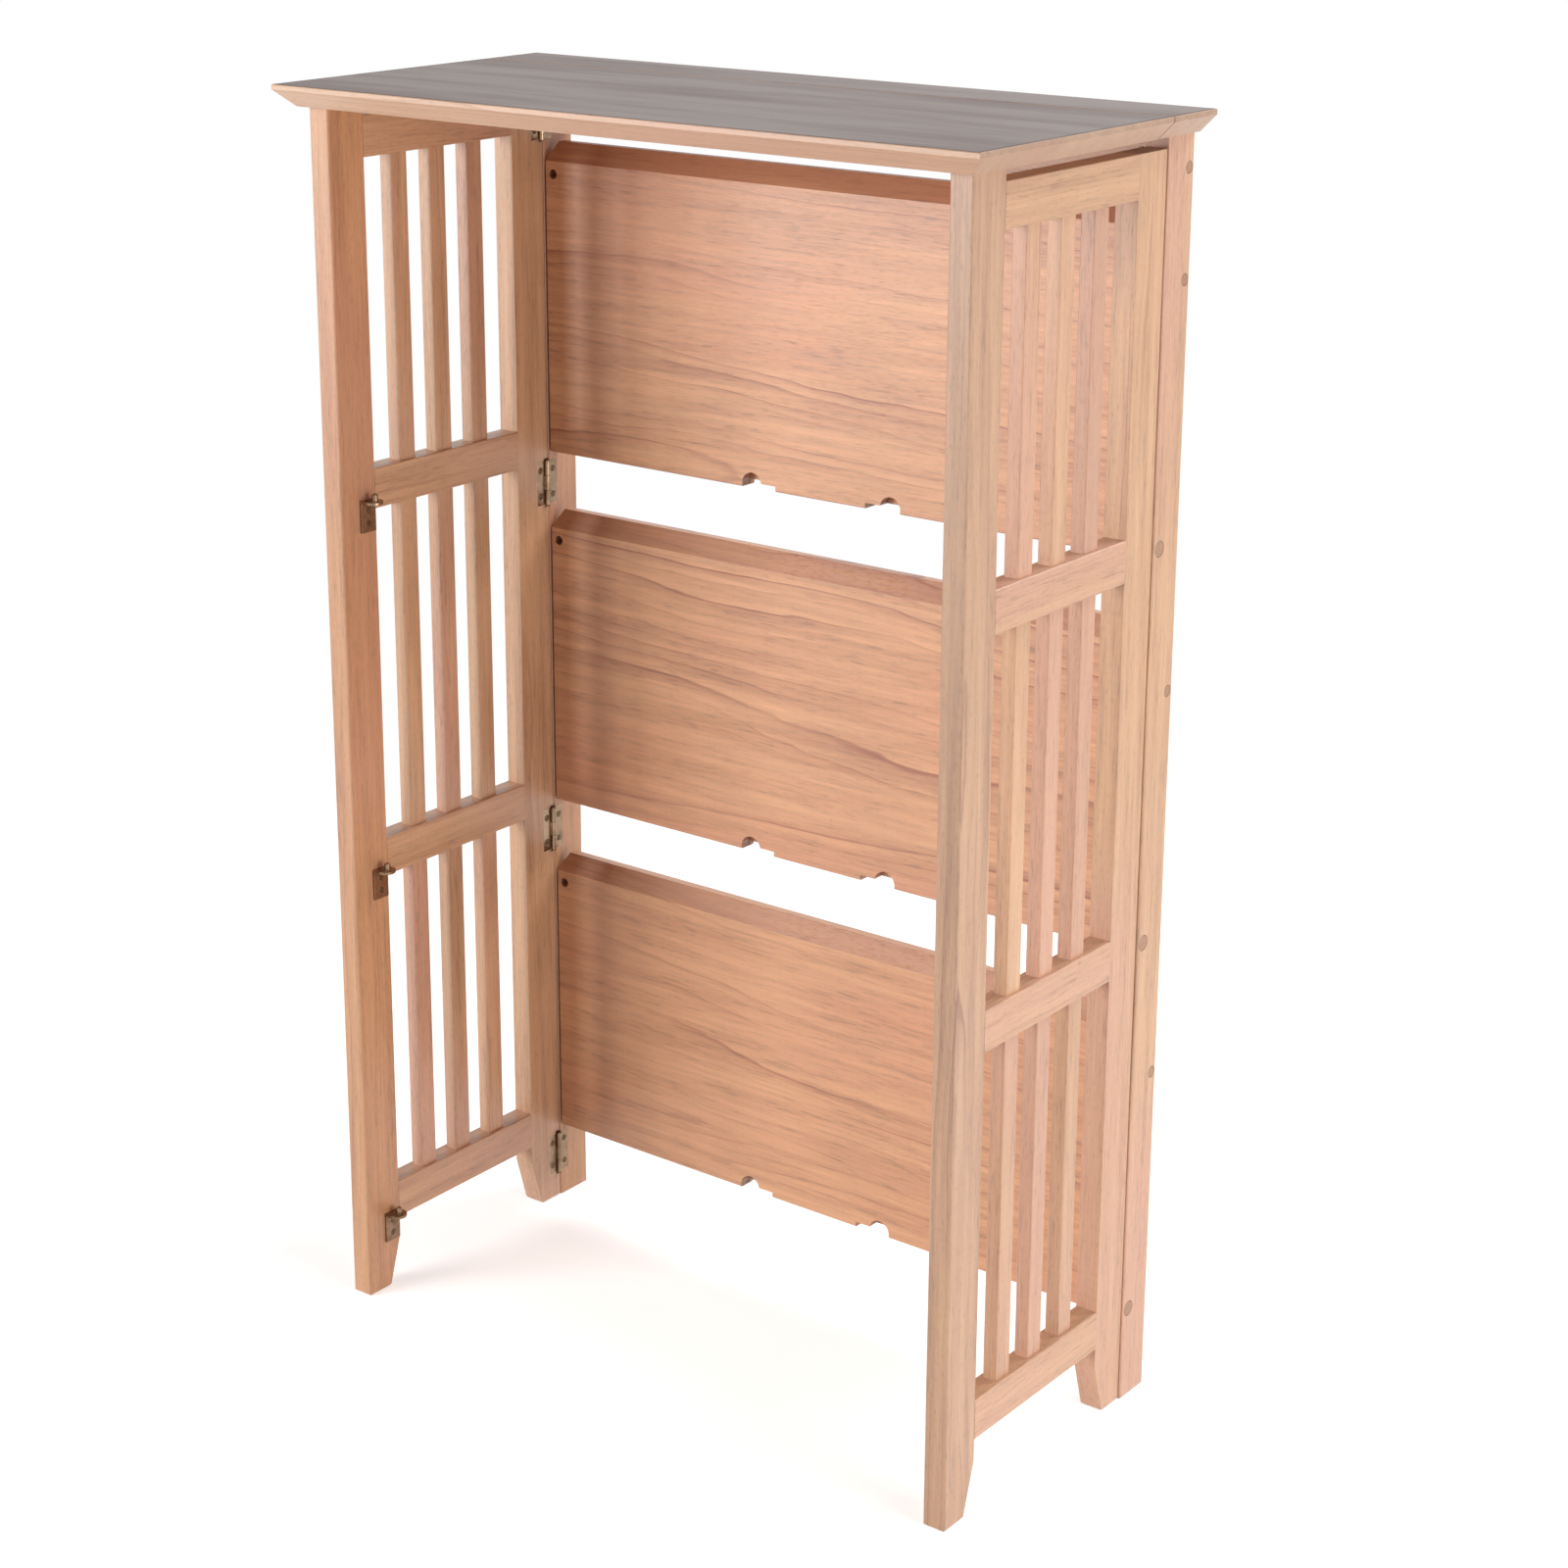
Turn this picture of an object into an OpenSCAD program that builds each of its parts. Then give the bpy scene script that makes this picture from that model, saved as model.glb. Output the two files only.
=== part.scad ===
// Folding bookstand rack in plain hardwood. A narrow back frame carries everything: two slatted
// sides fold inwards on butt hinges, three shelves tip up against the back rails, and the front
// leaf of the top is hinged to a fixed rear strip. It is drawn as it stands with the sides fully
// open, the shelves tipped up and the top closed.
// Millimetres. X to the right, Y to the back, Z up. The origin is on the floor, under the middle
// of the top.

/* [Overall] */
// Width of the top
top_w = 642; // [600:1:720]
// Depth of the top, front to back
top_d = 302; // [298:1:306]
// Height from the floor to the face of the top
total_h = 1016; // [1010:1:1030]
// How far the top runs past the posts on each side
side_overhang = 17; // [14:1:20]
// How far the top runs past the open sides at the front
front_overhang = 21; // [17:1:25]

/* [Top] */
// Thickness of the top
top_t = 17; // [16:0.5:18]
// Height of the square rim above the undercut
rim_h = 4; // [3:0.5:6]
// How far the undercut leans in from the rim to the underside
undercut = 13.2; // [8:0.2:14]
// Depth of the fixed rear strip of the top
strip_d = 58.5; // [58:0.1:58.8]
// Width of the seam between the rear strip and the hinged leaf
seam_gap = 1.2; // [1.1:0.1:1.4]

/* [Back frame] */
// Thickness of a back post, across the rack
post_t = 20; // [19:0.5:22]
// Depth of a back post, front to back
post_d = 35; // [34:0.5:36]
// Thickness of a back rail
back_rail_t = 18.7; // [16:0.1:18.7]
// Height of the three back rails behind the shelves
back_rail_h = 36; // [30:1:44]
// Height of the top back rail
top_rail_h = 42; // [36:1:48]

/* [Sides] */
// Thickness of a side's posts and rails
side_t = 19; // [18:0.5:20]
// Width of a side's post, seen from the side
side_post_w = 38; // [34:1:42]
// Height of a side's rails
side_rail_h = 32.5; // [30:0.5:36]
// Width of a slat
slat_w = 18; // [15:1:22]
// Thickness of a slat
slat_t = 12; // [9:0.5:14]
// Slats in each bay of a side
slat_n = 3; // [2:1:3]
// Distance from one slat to the next
slat_pitch = 43; // [38:1:45]
// Width of a foot where it meets the floor
foot_w = 25; // [20:1:32]
// Height at which a post starts to taper to its foot
foot_taper_h = 44; // [30:1:56]

/* [Shelves] */
// Thickness of a shelf
shelf_t = 15.5; // [15:0.1:15.5]
// Height of the underside of the lowest shelf when it is down
first_shelf_z = 69.5; // [66:0.5:74]
// Distance from one shelf to the next
shelf_pitch = 310; // [305:1:312]
// Free play between a shelf's end and the post beside it
shelf_end_gap = 1.8; // [1.5:0.1:2]

/* [Hardware] */
// Height of a side hinge
hinge_h = 38; // [30:1:40]
// Radius of a side hinge's knuckle
knuckle_r = 2.5; // [2.3:0.1:2.5]
// Radius of a side hinge's pin
hinge_pin_r = 1.2; // [1:0.1:1.4]
// Thickness of a hinge leaf
leaf_t = 1.2; // [1:0.1:1.3]
// Width of a shelf bracket
bracket_w = 16; // [12:1:18]
// Thickness of a shelf bracket
bracket_t = 2; // [1.5:0.1:2.2]
// Radius of the stud on a shelf bracket
stud_r = 2.5; // [2:0.1:3]
// Radius of a shelf's pivot screw
pivot_r = 2.5; // [2:0.1:3]

/* [Hidden] */
$fn = 48;

// Colours, as the wood and the metal look
frame_wood = [0.86, 0.68, 0.55];
shelf_wood = [0.80, 0.56, 0.42];
top_wood = [0.60, 0.54, 0.52];
dowel_wood = [0.88, 0.75, 0.58];
bronze = [0.42, 0.33, 0.25];
steel = [0.66, 0.66, 0.68];

// Cuts reach this far past the face that they open
over = 1;
// Rounding along the free edges of posts, and along those of rails and slats
ease_r = 1.5;
rail_ease_r = 1;
// Rounding along a post's edge where rails meet it flush
joint_ease_r = 0.5;
// Rounding along the rim of the top, and the small bevels along its seam
rim_ease_r = 1.2;
seam_bevel = 0.5;

// Main planes
rear_y = top_d / 2;
top_under = total_h - top_t;
post_out = top_w / 2 - side_overhang;
post_in = post_out - post_t;
post_mid_x = post_out - post_t / 2;
post_front_y = rear_y - post_d;
post_mid_y = rear_y - post_d / 2;
seam_rear_y = rear_y - strip_d;
seam_front_y = seam_rear_y - seam_gap;
rail_front_y = rear_y - back_rail_t;
rail_mid_y = rear_y - back_rail_t / 2;

// Sides, open: their inner faces lie in line with the posts' inner faces
side_gap = 0.5;
side_rear_y = post_front_y - side_gap;
side_front_y = -top_d / 2 + front_overhang;
side_d = side_rear_y - side_front_y;
side_mid_x = post_in + side_t / 2;
bay_front_y = side_front_y + side_post_w;
bay_rear_y = side_rear_y - side_post_w;
bay_d = bay_rear_y - bay_front_y;
leaf_rest_gap = 0.3;
front_post_top = top_under - leaf_rest_gap;
side_top = top_under - 9;
tenon_l = 8;
tenon_fit = 0.1;
frame_dowel_r = 3;
frame_dowel_l = 36;
frame_dowel_dz = 9;

// Shelves: the pivot lies near the rear bottom edge of a shelf that is tipped up
shelf_zs = [for (i = [0:2]) first_shelf_z + i * shelf_pitch];
pivot_y = 124;
pivot_up = 7.5;
shelf_front_y = pivot_y - pivot_up;
shelf_rear_y = shelf_front_y + shelf_t;
shelf_d = side_d + 14.5;
shelf_x = post_in - shelf_end_gap;
shelf_bevel_h = 16;
shelf_bevel_in = 7;
shelf_corner_x = 9;
shelf_corner_z = 15;
pivot_tip_l = 12;
pivot_bore_l = 14;
pivot_play = 0.05;

// Side rails follow the shelves; the top one ends level with the rear post
side_rail_zs = [for (z = shelf_zs) z - 9.5];
side_top_rail_z = side_top - side_rail_h;
back_rail_up = 196;
back_rail_zs = [for (z = shelf_zs) z + pivot_up + back_rail_up];
top_rail_screw_z = top_under - 25;
rail_screw_y = rear_y - 6.5;
rail_dowel_y = rear_y - 12;
rail_dowel_dz = 11;
rail_dowel_r = 3;
rail_dowel_l = 34;
rail_dowel_shift = 5;

// Side hinges: the pin stands just inside the wood and in front of the post
axis_in = 1.1;
axis_x = post_in - axis_in;
axis_y = post_front_y - 3;
knuckle_gap = 0.3;
knuckle_h = (hinge_h - 2 * knuckle_gap) / 3;
hinge_play = 0.05;
pin_head_h = 1;
pin_head_r = 1.9;
post_leaf_l = 10;
frame_leaf_l = 9;
leaf_setback = 3.1;
relief_l = 5.6;
relief_in = 3;
hinge_zs = concat([for (z = shelf_zs) z - 7.5 - hinge_h], [top_under - 48]);
hinge_screw_dz = 11;
wood_screw_r = 1.6;
wood_screw_l = 13;
screw_head_r = 3;
screw_head_h = 1.2;

// Hinges of the top, under the seam
top_hinge_xs = [-200, 0, 200];
top_hinge_l = 38;
top_knuckle_r = 2.2;
top_pin_r = 1.1;
top_axis_y = (seam_rear_y + seam_front_y) / 2;
top_axis_z = top_under - top_knuckle_r - 0.2;
top_leaf_setback = 2.7;
top_leaf_l = 13.4;
top_knuckle_l = (top_hinge_l - 2 * knuckle_gap) / 3;
top_screw_l = 11;
top_screw_dx = 12;

// Shelf brackets: an angle on the front post with a stud that holds the shelf's front corner
bracket_y = side_rear_y - 217.5;
bracket_reach = 15.5;
bracket_leaf_h = 26;
stud_in = 9.5;
stud_up = 6;
shelf_rest_gap = 0.25;
stud_x = post_in - stud_in;
stud_hole_r = 4;
stud_hole_l = 10;
bracket_zs = [for (z = shelf_zs) z - shelf_rest_gap];
bracket_screw_dzs = [8, 19];

// Recesses in a shelf's rear edge that clear the brackets of a side that is folded in
recess_x = axis_x - (axis_y - bracket_y);
recess_r = 9.7;
recess_up = 2.8;
recess_l = 10;
notch_x = [44, 77];
notch_h = 4.5;

// Screws and wood plugs in the back posts
plug_r = 4.75;
plug_l = 5;
rail_screw_head_r = 4.2;
rail_screw_head_l = 4;
rail_screw_r = 2;
rail_screw_l = 45;
pivot_plug_r = 6.35;
pivot_plug_l = 4.5;
pivot_head_r = 5;
pivot_head_l = 3.5;
strip_dowel_r = 4;
strip_dowel_l = 20;
strip_dowel_up = 11;
strip_dowel_spots = [for (s = [-1, 1]) each [[s * post_mid_x, post_mid_y], [s * 120, rail_mid_y]]];

// ---- Shapes that several pieces share ----

// Points round a w by d rectangle whose corners are rounded by short chords. rs gives the radii
// of its corners at (w, d), (0, d), (0, 0) and (w, 0)
function eased(w, d, rs) = let (
    mids = [[w - rs[0], d - rs[0]], [rs[1], d - rs[1]], [rs[2], rs[2]], [w - rs[3], rs[3]]]
) [
    for (i = [0:3])
        for (a = [0, 30, 60, 90])
            mids[i] + rs[i] * [cos(90 * i + a), sin(90 * i + a)]
];

function all_round(r) = [r, r, r, r];

// Bars with eased long edges, by the direction in which they run
module bar_x(pos, size, rs) {
    translate(pos) rotate([90, 0, 90]) linear_extrude(size.x) polygon(eased(size.y, size.z, rs));
}

module bar_y(pos, size, rs) {
    translate(pos + [0, size.y, 0]) rotate([90, 0, 0]) linear_extrude(size.y)
        polygon(eased(size.x, size.z, rs));
}

module bar_z(pos, size, rs) {
    translate(pos) linear_extrude(size.z) polygon(eased(size.x, size.y, rs));
}

// Round bars that start at pos and run towards +X, +Y or +Z
module rod_x(pos, r, l) {
    translate(pos) rotate([0, 90, 0]) cylinder(h = l, r = r);
}

module rod_y(pos, r, l) {
    translate(pos) rotate([-90, 0, 0]) cylinder(h = l, r = r);
}

module rod_z(pos, r, l) {
    translate(pos) cylinder(h = l, r = r);
}

// A solid from its outline seen from the side (Y, Z), or from the front (X, Z)
module from_side(x0, x1) {
    translate([x0, 0, 0]) rotate([90, 0, 90]) linear_extrude(x1 - x0) children();
}

module from_front(y0, y1) {
    translate([0, y1, 0]) rotate([90, 0, 0]) linear_extrude(y1 - y0) children();
}

// The child and its mirror image across the middle of the rack
module both_sides() {
    children();
    mirror([1, 0, 0]) children();
}

module left_of_right() {
    mirror([1, 0, 0]) children();
}

// Countersunk screw that enters wood towards +X, its head's face at pos
module wood_screw_x(pos, l) {
    translate(pos) rotate([0, 90, 0]) {
        cylinder(h = screw_head_h, r1 = screw_head_r, r2 = wood_screw_r);
        cylinder(h = l, r = wood_screw_r);
    }
}

// The same screw upwards
module wood_screw_z(pos, l) {
    translate(pos) {
        cylinder(h = screw_head_h, r1 = screw_head_r, r2 = wood_screw_r);
        cylinder(h = l, r = wood_screw_r);
    }
}

// ---- Hinges of the sides, drawn for the right side ----

// Heights of a hinge's three knuckles above its lower end
function knuckle_z(i) = i * (knuckle_h + knuckle_gap);

function hinge_screw_levels(z0) = [for (s = [-1, 1]) z0 + hinge_h / 2 + s * hinge_screw_dz];
post_leaf_screw_y = post_front_y + post_leaf_l / 2;
frame_leaf_screw_y = axis_y - leaf_setback - frame_leaf_l / 2;

// One hinge's leaf on the back post, with the outer two knuckles
module post_leaf(z0) {
    difference() {
        union() {
            translate([post_in, post_front_y, z0])
                cube([leaf_t, post_leaf_l, hinge_h]);
            for (i = [0, 2]) {
                translate([post_in, axis_y, z0 + knuckle_z(i)])
                    cube([leaf_t, post_front_y - axis_y + over, knuckle_h]);
                rod_z([axis_x, axis_y, z0 + knuckle_z(i)], knuckle_r, knuckle_h);
            }
        }
        rod_z([axis_x, axis_y, z0 - over], hinge_pin_r, hinge_h + 2 * over);
        for (z = hinge_screw_levels(z0))
            wood_screw_x([post_in, post_leaf_screw_y, z], wood_screw_l);
    }
}

// One hinge's leaf on the side's rear post, with the middle knuckle
module frame_leaf(z0) {
    difference() {
        union() {
            translate([post_in, axis_y - leaf_setback - frame_leaf_l, z0])
                cube([leaf_t, frame_leaf_l, hinge_h]);
            translate([post_in, axis_y - leaf_setback - over, z0 + knuckle_z(1)])
                cube([leaf_t, leaf_setback + over, knuckle_h]);
            rod_z([axis_x, axis_y, z0 + knuckle_z(1)], knuckle_r, knuckle_h);
        }
        rod_z([axis_x, axis_y, z0 - over], hinge_pin_r + hinge_play, hinge_h + 2 * over);
        for (z = hinge_screw_levels(z0))
            wood_screw_x([post_in, frame_leaf_screw_y, z], wood_screw_l);
    }
}

module right_post_leaves() {
    for (z0 = hinge_zs)
        post_leaf(z0);
}

module right_frame_leaves() {
    for (z0 = hinge_zs)
        frame_leaf(z0);
}

module hinge_pins_right() {
    for (z0 = hinge_zs) {
        rod_z([axis_x, axis_y, z0], hinge_pin_r, hinge_h);
        for (z = [z0 - pin_head_h, z0 + hinge_h])
            rod_z([axis_x, axis_y, z], pin_head_r, pin_head_h);
    }
}

module leaf_screws_right(y) {
    for (z0 = hinge_zs)
        for (z = hinge_screw_levels(z0))
            wood_screw_x([post_in, y, z], wood_screw_l);
}

// ---- Back frame ----

// Rail screws: heights on the posts, top rail included
rail_screw_zs = concat(back_rail_zs, [top_rail_screw_z]);
// Where the heads of the rail screws and of the pivot screws sit, and where the dowels start
rail_seat_x = post_out - plug_l - rail_screw_head_l;
pivot_seat_x = post_out - pivot_plug_l - pivot_head_l;
rail_dowel_x = post_in - rail_dowel_l / 2 - rail_dowel_shift;

module right_back_post() {
    difference() {
        bar_z([post_in, post_front_y, 0], [post_t, post_d, top_under],
              [ease_r, joint_ease_r, ease_r, ease_r]);
        // Stepped holes for the shelf pivots
        for (z = shelf_zs) {
            rod_x([post_in - over, pivot_y, z + pivot_up], pivot_r, post_t + 2 * over);
            rod_x([pivot_seat_x, pivot_y, z + pivot_up], pivot_plug_r, post_t);
        }
        // Stepped holes for the rail screws, and a dowel hole beside each
        for (z = rail_screw_zs) {
            rod_x([post_in - over, rail_screw_y, z], rail_screw_r, post_t + 2 * over);
            rod_x([rail_seat_x, rail_screw_y, z], plug_r, post_t);
            rod_x([post_in - over, rail_dowel_y, z + rail_dowel_dz], rail_dowel_r,
                  rail_dowel_l / 2 - rail_dowel_shift + over);
        }
        // Housings for the hinge leaves
        for (z0 = hinge_zs)
            translate([post_in - over, post_front_y - over, z0])
                cube([leaf_t + over, post_leaf_l + over, hinge_h]);
        leaf_screws_right(post_leaf_screw_y);
        rod_z([post_mid_x, post_mid_y, top_under + strip_dowel_up - strip_dowel_l],
              strip_dowel_r, strip_dowel_l);
    }
}

module back_post_left() {
    color(frame_wood) left_of_right() right_back_post();
}

module back_post_right() {
    color(frame_wood) right_back_post();
}

// A rail between the posts, with the holes of its screws and dowels
module back_rail(z0, h, screw_z) {
    difference() {
        bar_x([-post_in, rail_front_y, z0], [2 * post_in, back_rail_t, h],
              all_round(rail_ease_r));
        both_sides() {
            rod_x([rail_seat_x - rail_screw_l, rail_screw_y, screw_z], rail_screw_r,
                  rail_screw_l);
            rod_x([rail_dowel_x, rail_dowel_y, screw_z + rail_dowel_dz], rail_dowel_r,
                  rail_dowel_l);
        }
    }
}

module back_rail_top() {
    color(frame_wood) difference() {
        back_rail(top_under - top_rail_h, top_rail_h, top_rail_screw_z);
        for (p = strip_dowel_spots)
            rod_z([p.x, p.y, top_under + strip_dowel_up - strip_dowel_l], strip_dowel_r,
                  strip_dowel_l);
    }
}

module low_back_rail(i) {
    color(frame_wood) back_rail(back_rail_zs[i] - back_rail_h / 2, back_rail_h, back_rail_zs[i]);
}

module back_rail_dowels() {
    color(dowel_wood) both_sides() for (z = rail_screw_zs)
        rod_x([rail_dowel_x, rail_dowel_y, z + rail_dowel_dz], rail_dowel_r, rail_dowel_l);
}

module back_rail_screws() {
    color(steel) both_sides() for (z = rail_screw_zs) {
        rod_x([rail_seat_x - rail_screw_l, rail_screw_y, z], rail_screw_r, rail_screw_l);
        rod_x([rail_seat_x, rail_screw_y, z], rail_screw_head_r, rail_screw_head_l);
    }
}

module rail_screw_plugs() {
    color(dowel_wood) both_sides() for (z = rail_screw_zs)
        rod_x([post_out - plug_l, rail_screw_y, z], plug_r, plug_l);
}

// Each shelf turns on the plain tips of two long screws
module shelf_pivot_screws() {
    color(steel) both_sides() for (z = shelf_zs) {
        rod_x([shelf_x - pivot_tip_l, pivot_y, z + pivot_up], pivot_r,
              pivot_seat_x - shelf_x + pivot_tip_l);
        rod_x([pivot_seat_x, pivot_y, z + pivot_up], pivot_head_r, pivot_head_l);
    }
}

module pivot_plugs() {
    color(dowel_wood) both_sides() for (z = shelf_zs)
        rod_x([post_out - pivot_plug_l, pivot_y, z + pivot_up], pivot_plug_r, pivot_plug_l);
}

// ---- Top ----

// Upper corner of the rim, rounded by short chords; it points to the right where sx is 1 and to
// the left, or to the front, where sx is -1
function rim_corner(x, y, sx) = [
    for (a = sx > 0 ? [0, 30, 60, 90] : [90, 120, 150, 180])
        [x - sx * rim_ease_r + rim_ease_r * cos(a), y - rim_ease_r + rim_ease_r * sin(a)]
];

// Outline of the top seen from the front, with both undercuts
top_front_outline = concat(
    [[-top_w / 2 + undercut, top_under], [top_w / 2 - undercut, top_under],
     [top_w / 2, total_h - rim_h]],
    rim_corner(top_w / 2, total_h, 1),
    rim_corner(-top_w / 2, total_h, -1),
    [[-top_w / 2, total_h - rim_h]]
);

// Outline of the hinged leaf seen from the side
leaf_side_outline = concat(
    [[-top_d / 2 + undercut, top_under - over], [seam_front_y, top_under - over],
     [seam_front_y, total_h - seam_bevel], [seam_front_y - seam_bevel, total_h]],
    rim_corner(-top_d / 2, total_h, -1),
    [[-top_d / 2, total_h - rim_h],
     [-top_d / 2 + undercut, top_under]]
);

// Outline of the fixed strip seen from the side
strip_side_outline = [
    [seam_rear_y, top_under - over], [rear_y, top_under - over],
    [rear_y, total_h - seam_bevel], [rear_y - seam_bevel, total_h],
    [seam_rear_y + seam_bevel, total_h], [seam_rear_y, total_h - seam_bevel]
];

module top_board(side_outline) {
    intersection() {
        from_front(-top_d, top_d) polygon(top_front_outline);
        from_side(-top_w, top_w) polygon(side_outline);
    }
}

// Plates of one top hinge lie under the wood; dir is 1 towards the back, -1 towards the front
module top_hinge_plate(x, dir, picks, bore_r) {
    plate_y = top_axis_y + dir * top_leaf_setback;
    x0 = x - top_hinge_l / 2;
    difference() {
        union() {
            translate([x0, min(plate_y, plate_y + dir * top_leaf_l), top_under - leaf_t])
                cube([top_hinge_l, top_leaf_l, leaf_t]);
            for (i = picks) {
                kx = x0 + i * (top_knuckle_l + knuckle_gap);
                translate([kx, min(top_axis_y, plate_y + dir * over), top_under - leaf_t])
                    cube([top_knuckle_l, top_leaf_setback + over, leaf_t]);
                rod_x([kx, top_axis_y, top_axis_z], top_knuckle_r, top_knuckle_l);
            }
        }
        rod_x([x0 - over, top_axis_y, top_axis_z], bore_r, top_hinge_l + 2 * over);
        for (p = top_screw_spots(x, dir))
            wood_screw_z([p.x, p.y, top_under - leaf_t], top_screw_l);
    }
}

function top_screw_spots(x, dir) = [
    for (s = [-1, 1])
        [x + s * top_screw_dx, top_axis_y + dir * (top_leaf_setback + top_leaf_l / 2)]
];

module top_hinge_screws(dir) {
    for (x = top_hinge_xs)
        for (p = top_screw_spots(x, dir))
            wood_screw_z([p.x, p.y, top_under - leaf_t], top_screw_l);
}

module top_rear_strip() {
    color(top_wood) difference() {
        top_board(strip_side_outline);
        for (p = strip_dowel_spots)
            rod_z([p.x, p.y, top_under - over], strip_dowel_r, strip_dowel_up + over);
        top_hinge_screws(1);
    }
}

module top_strip_dowels() {
    color(dowel_wood) for (p = strip_dowel_spots)
        rod_z([p.x, p.y, top_under + strip_dowel_up - strip_dowel_l], strip_dowel_r,
              strip_dowel_l);
}

module top_hinge_strip_leaves() {
    color(bronze) for (x = top_hinge_xs)
        top_hinge_plate(x, 1, [0, 2], top_pin_r);
}

module top_hinge_pins() {
    color(bronze) for (x = top_hinge_xs)
        rod_x([x - top_hinge_l / 2, top_axis_y, top_axis_z], top_pin_r, top_hinge_l);
}

module top_hinge_strip_screws() {
    color(bronze) top_hinge_screws(1);
}

module top_front_leaf() {
    color(top_wood) difference() {
        top_board(leaf_side_outline);
        top_hinge_screws(-1);
    }
}

module top_hinge_front_leaves() {
    color(bronze) for (x = top_hinge_xs)
        top_hinge_plate(x, -1, [1], top_pin_r + hinge_play);
}

module top_hinge_front_screws() {
    color(bronze) top_hinge_screws(-1);
}

// ---- Sides, drawn for the right side ----

// The wedge that tapers a foot; dir points from the straight edge to the tapered one
module foot_taper(straight_y, dir) {
    lean = (side_post_w - foot_w) / foot_taper_h;
    from_side(post_in - over, post_in + side_t + over) polygon([
        [straight_y + dir * (foot_w - lean * over), -over],
        [straight_y + dir * (side_post_w + over), -over],
        [straight_y + dir * (side_post_w + over), foot_taper_h + over / lean]
    ]);
}

foot_bevel = 1.5;

// Small bevel round the foot of a post that stands at x0..x1, y0..y1
module foot_bevels(x0, x1, y0, y1) {
    bevel = [[-over, -over], [foot_bevel + over, -over], [-over, foot_bevel + over]];
    translate([x0, 0, 0]) from_front(y0 - over, y1 + over) polygon(bevel);
    translate([x1, 0, 0]) mirror([1, 0, 0]) from_front(y0 - over, y1 + over) polygon(bevel);
    translate([0, y0, 0]) from_side(x0 - over, x1 + over) polygon(bevel);
    translate([0, y1, 0]) mirror([0, 1, 0]) from_side(x0 - over, x1 + over) polygon(bevel);
}

all_side_rail_mids = concat(
    [for (z = side_rail_zs) z + side_rail_h / 2],
    [side_top_rail_z + side_rail_h / 2]
);

// Dowels that pin the rails to the post whose inner edge is at y
module side_dowels_at(y) {
    for (z = all_side_rail_mids)
        for (s = [-1, 1])
            rod_y([side_mid_x, y - frame_dowel_l / 2, z + s * frame_dowel_dz], frame_dowel_r,
                  frame_dowel_l);
}

module side_front_post() {
    color(frame_wood) difference() {
        bar_z([post_in, side_front_y, 0], [side_t, side_post_w, front_post_top],
              [joint_ease_r, joint_ease_r, ease_r, ease_r]);
        foot_taper(side_front_y, 1);
        foot_bevels(post_in, post_in + side_t, side_front_y, side_front_y + foot_w);
        side_dowels_at(bay_front_y);
        bracket_screws_right();
    }
}

module side_rear_post() {
    color(frame_wood) difference() {
        bar_z([post_in, bay_rear_y, 0], [side_t, side_post_w, side_top],
              [ease_r, ease_r, joint_ease_r, joint_ease_r]);
        foot_taper(side_rear_y, -1);
        foot_bevels(post_in, post_in + side_t, side_rear_y - foot_w, side_rear_y);
        side_dowels_at(bay_rear_y);
        for (z0 = hinge_zs) {
            // Housing for the leaf, and room for the knuckles to turn
            translate([post_in - over, axis_y - leaf_setback - frame_leaf_l, z0])
                cube([leaf_t + over, side_post_w, hinge_h]);
            translate([post_in - over, side_rear_y - relief_l, z0 - 2 * pin_head_h])
                cube([relief_in - axis_in + over, relief_l + over, hinge_h + 4 * pin_head_h]);
        }
        leaf_screws_right(frame_leaf_screw_y);
    }
}

// Middles of the slats, seen from the side
slat_ys = [for (i = [0:slat_n - 1])
    (bay_front_y + bay_rear_y) / 2 + (i - (slat_n - 1) / 2) * slat_pitch];

// Mortises for the slats of a bay that ends at z; up is 1 where the slats stand on the rail
module slat_mortises(z, up) {
    h = tenon_l + tenon_fit;
    for (y = slat_ys)
        translate([side_mid_x - slat_t / 2 - tenon_fit, y - slat_w / 2 - tenon_fit,
                   up > 0 ? z - h : z - over])
            cube([slat_t + 2 * tenon_fit, slat_w + 2 * tenon_fit, h + over]);
}

module side_rail(z0, slats_above, slats_below) {
    color(frame_wood) difference() {
        bar_y([post_in, bay_front_y, z0], [side_t, bay_d, side_rail_h],
              all_round(rail_ease_r));
        side_dowels_at(bay_front_y);
        side_dowels_at(bay_rear_y);
        if (slats_above)
            slat_mortises(z0 + side_rail_h, 1);
        if (slats_below)
            slat_mortises(z0, -1);
    }
}

// Slats between the rail whose top is at z0 and the rail whose underside is at z1
module slats(z0, z1) {
    color(frame_wood) for (y = slat_ys)
        bar_z([side_mid_x - slat_t / 2, y - slat_w / 2, z0 - tenon_l],
              [slat_t, slat_w, z1 - z0 + 2 * tenon_l], all_round(rail_ease_r));
}

function rail_top(i) = side_rail_zs[i] + side_rail_h;

module side_dowels() {
    color(dowel_wood) {
        side_dowels_at(bay_front_y);
        side_dowels_at(bay_rear_y);
    }
}

// ---- Shelf brackets, drawn for the right side ----

module bracket_screws_right() {
    for (z = bracket_zs)
        for (dz = bracket_screw_dzs)
            wood_screw_x([post_in - bracket_t, bracket_y, z - dz], wood_screw_l);
}

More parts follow.
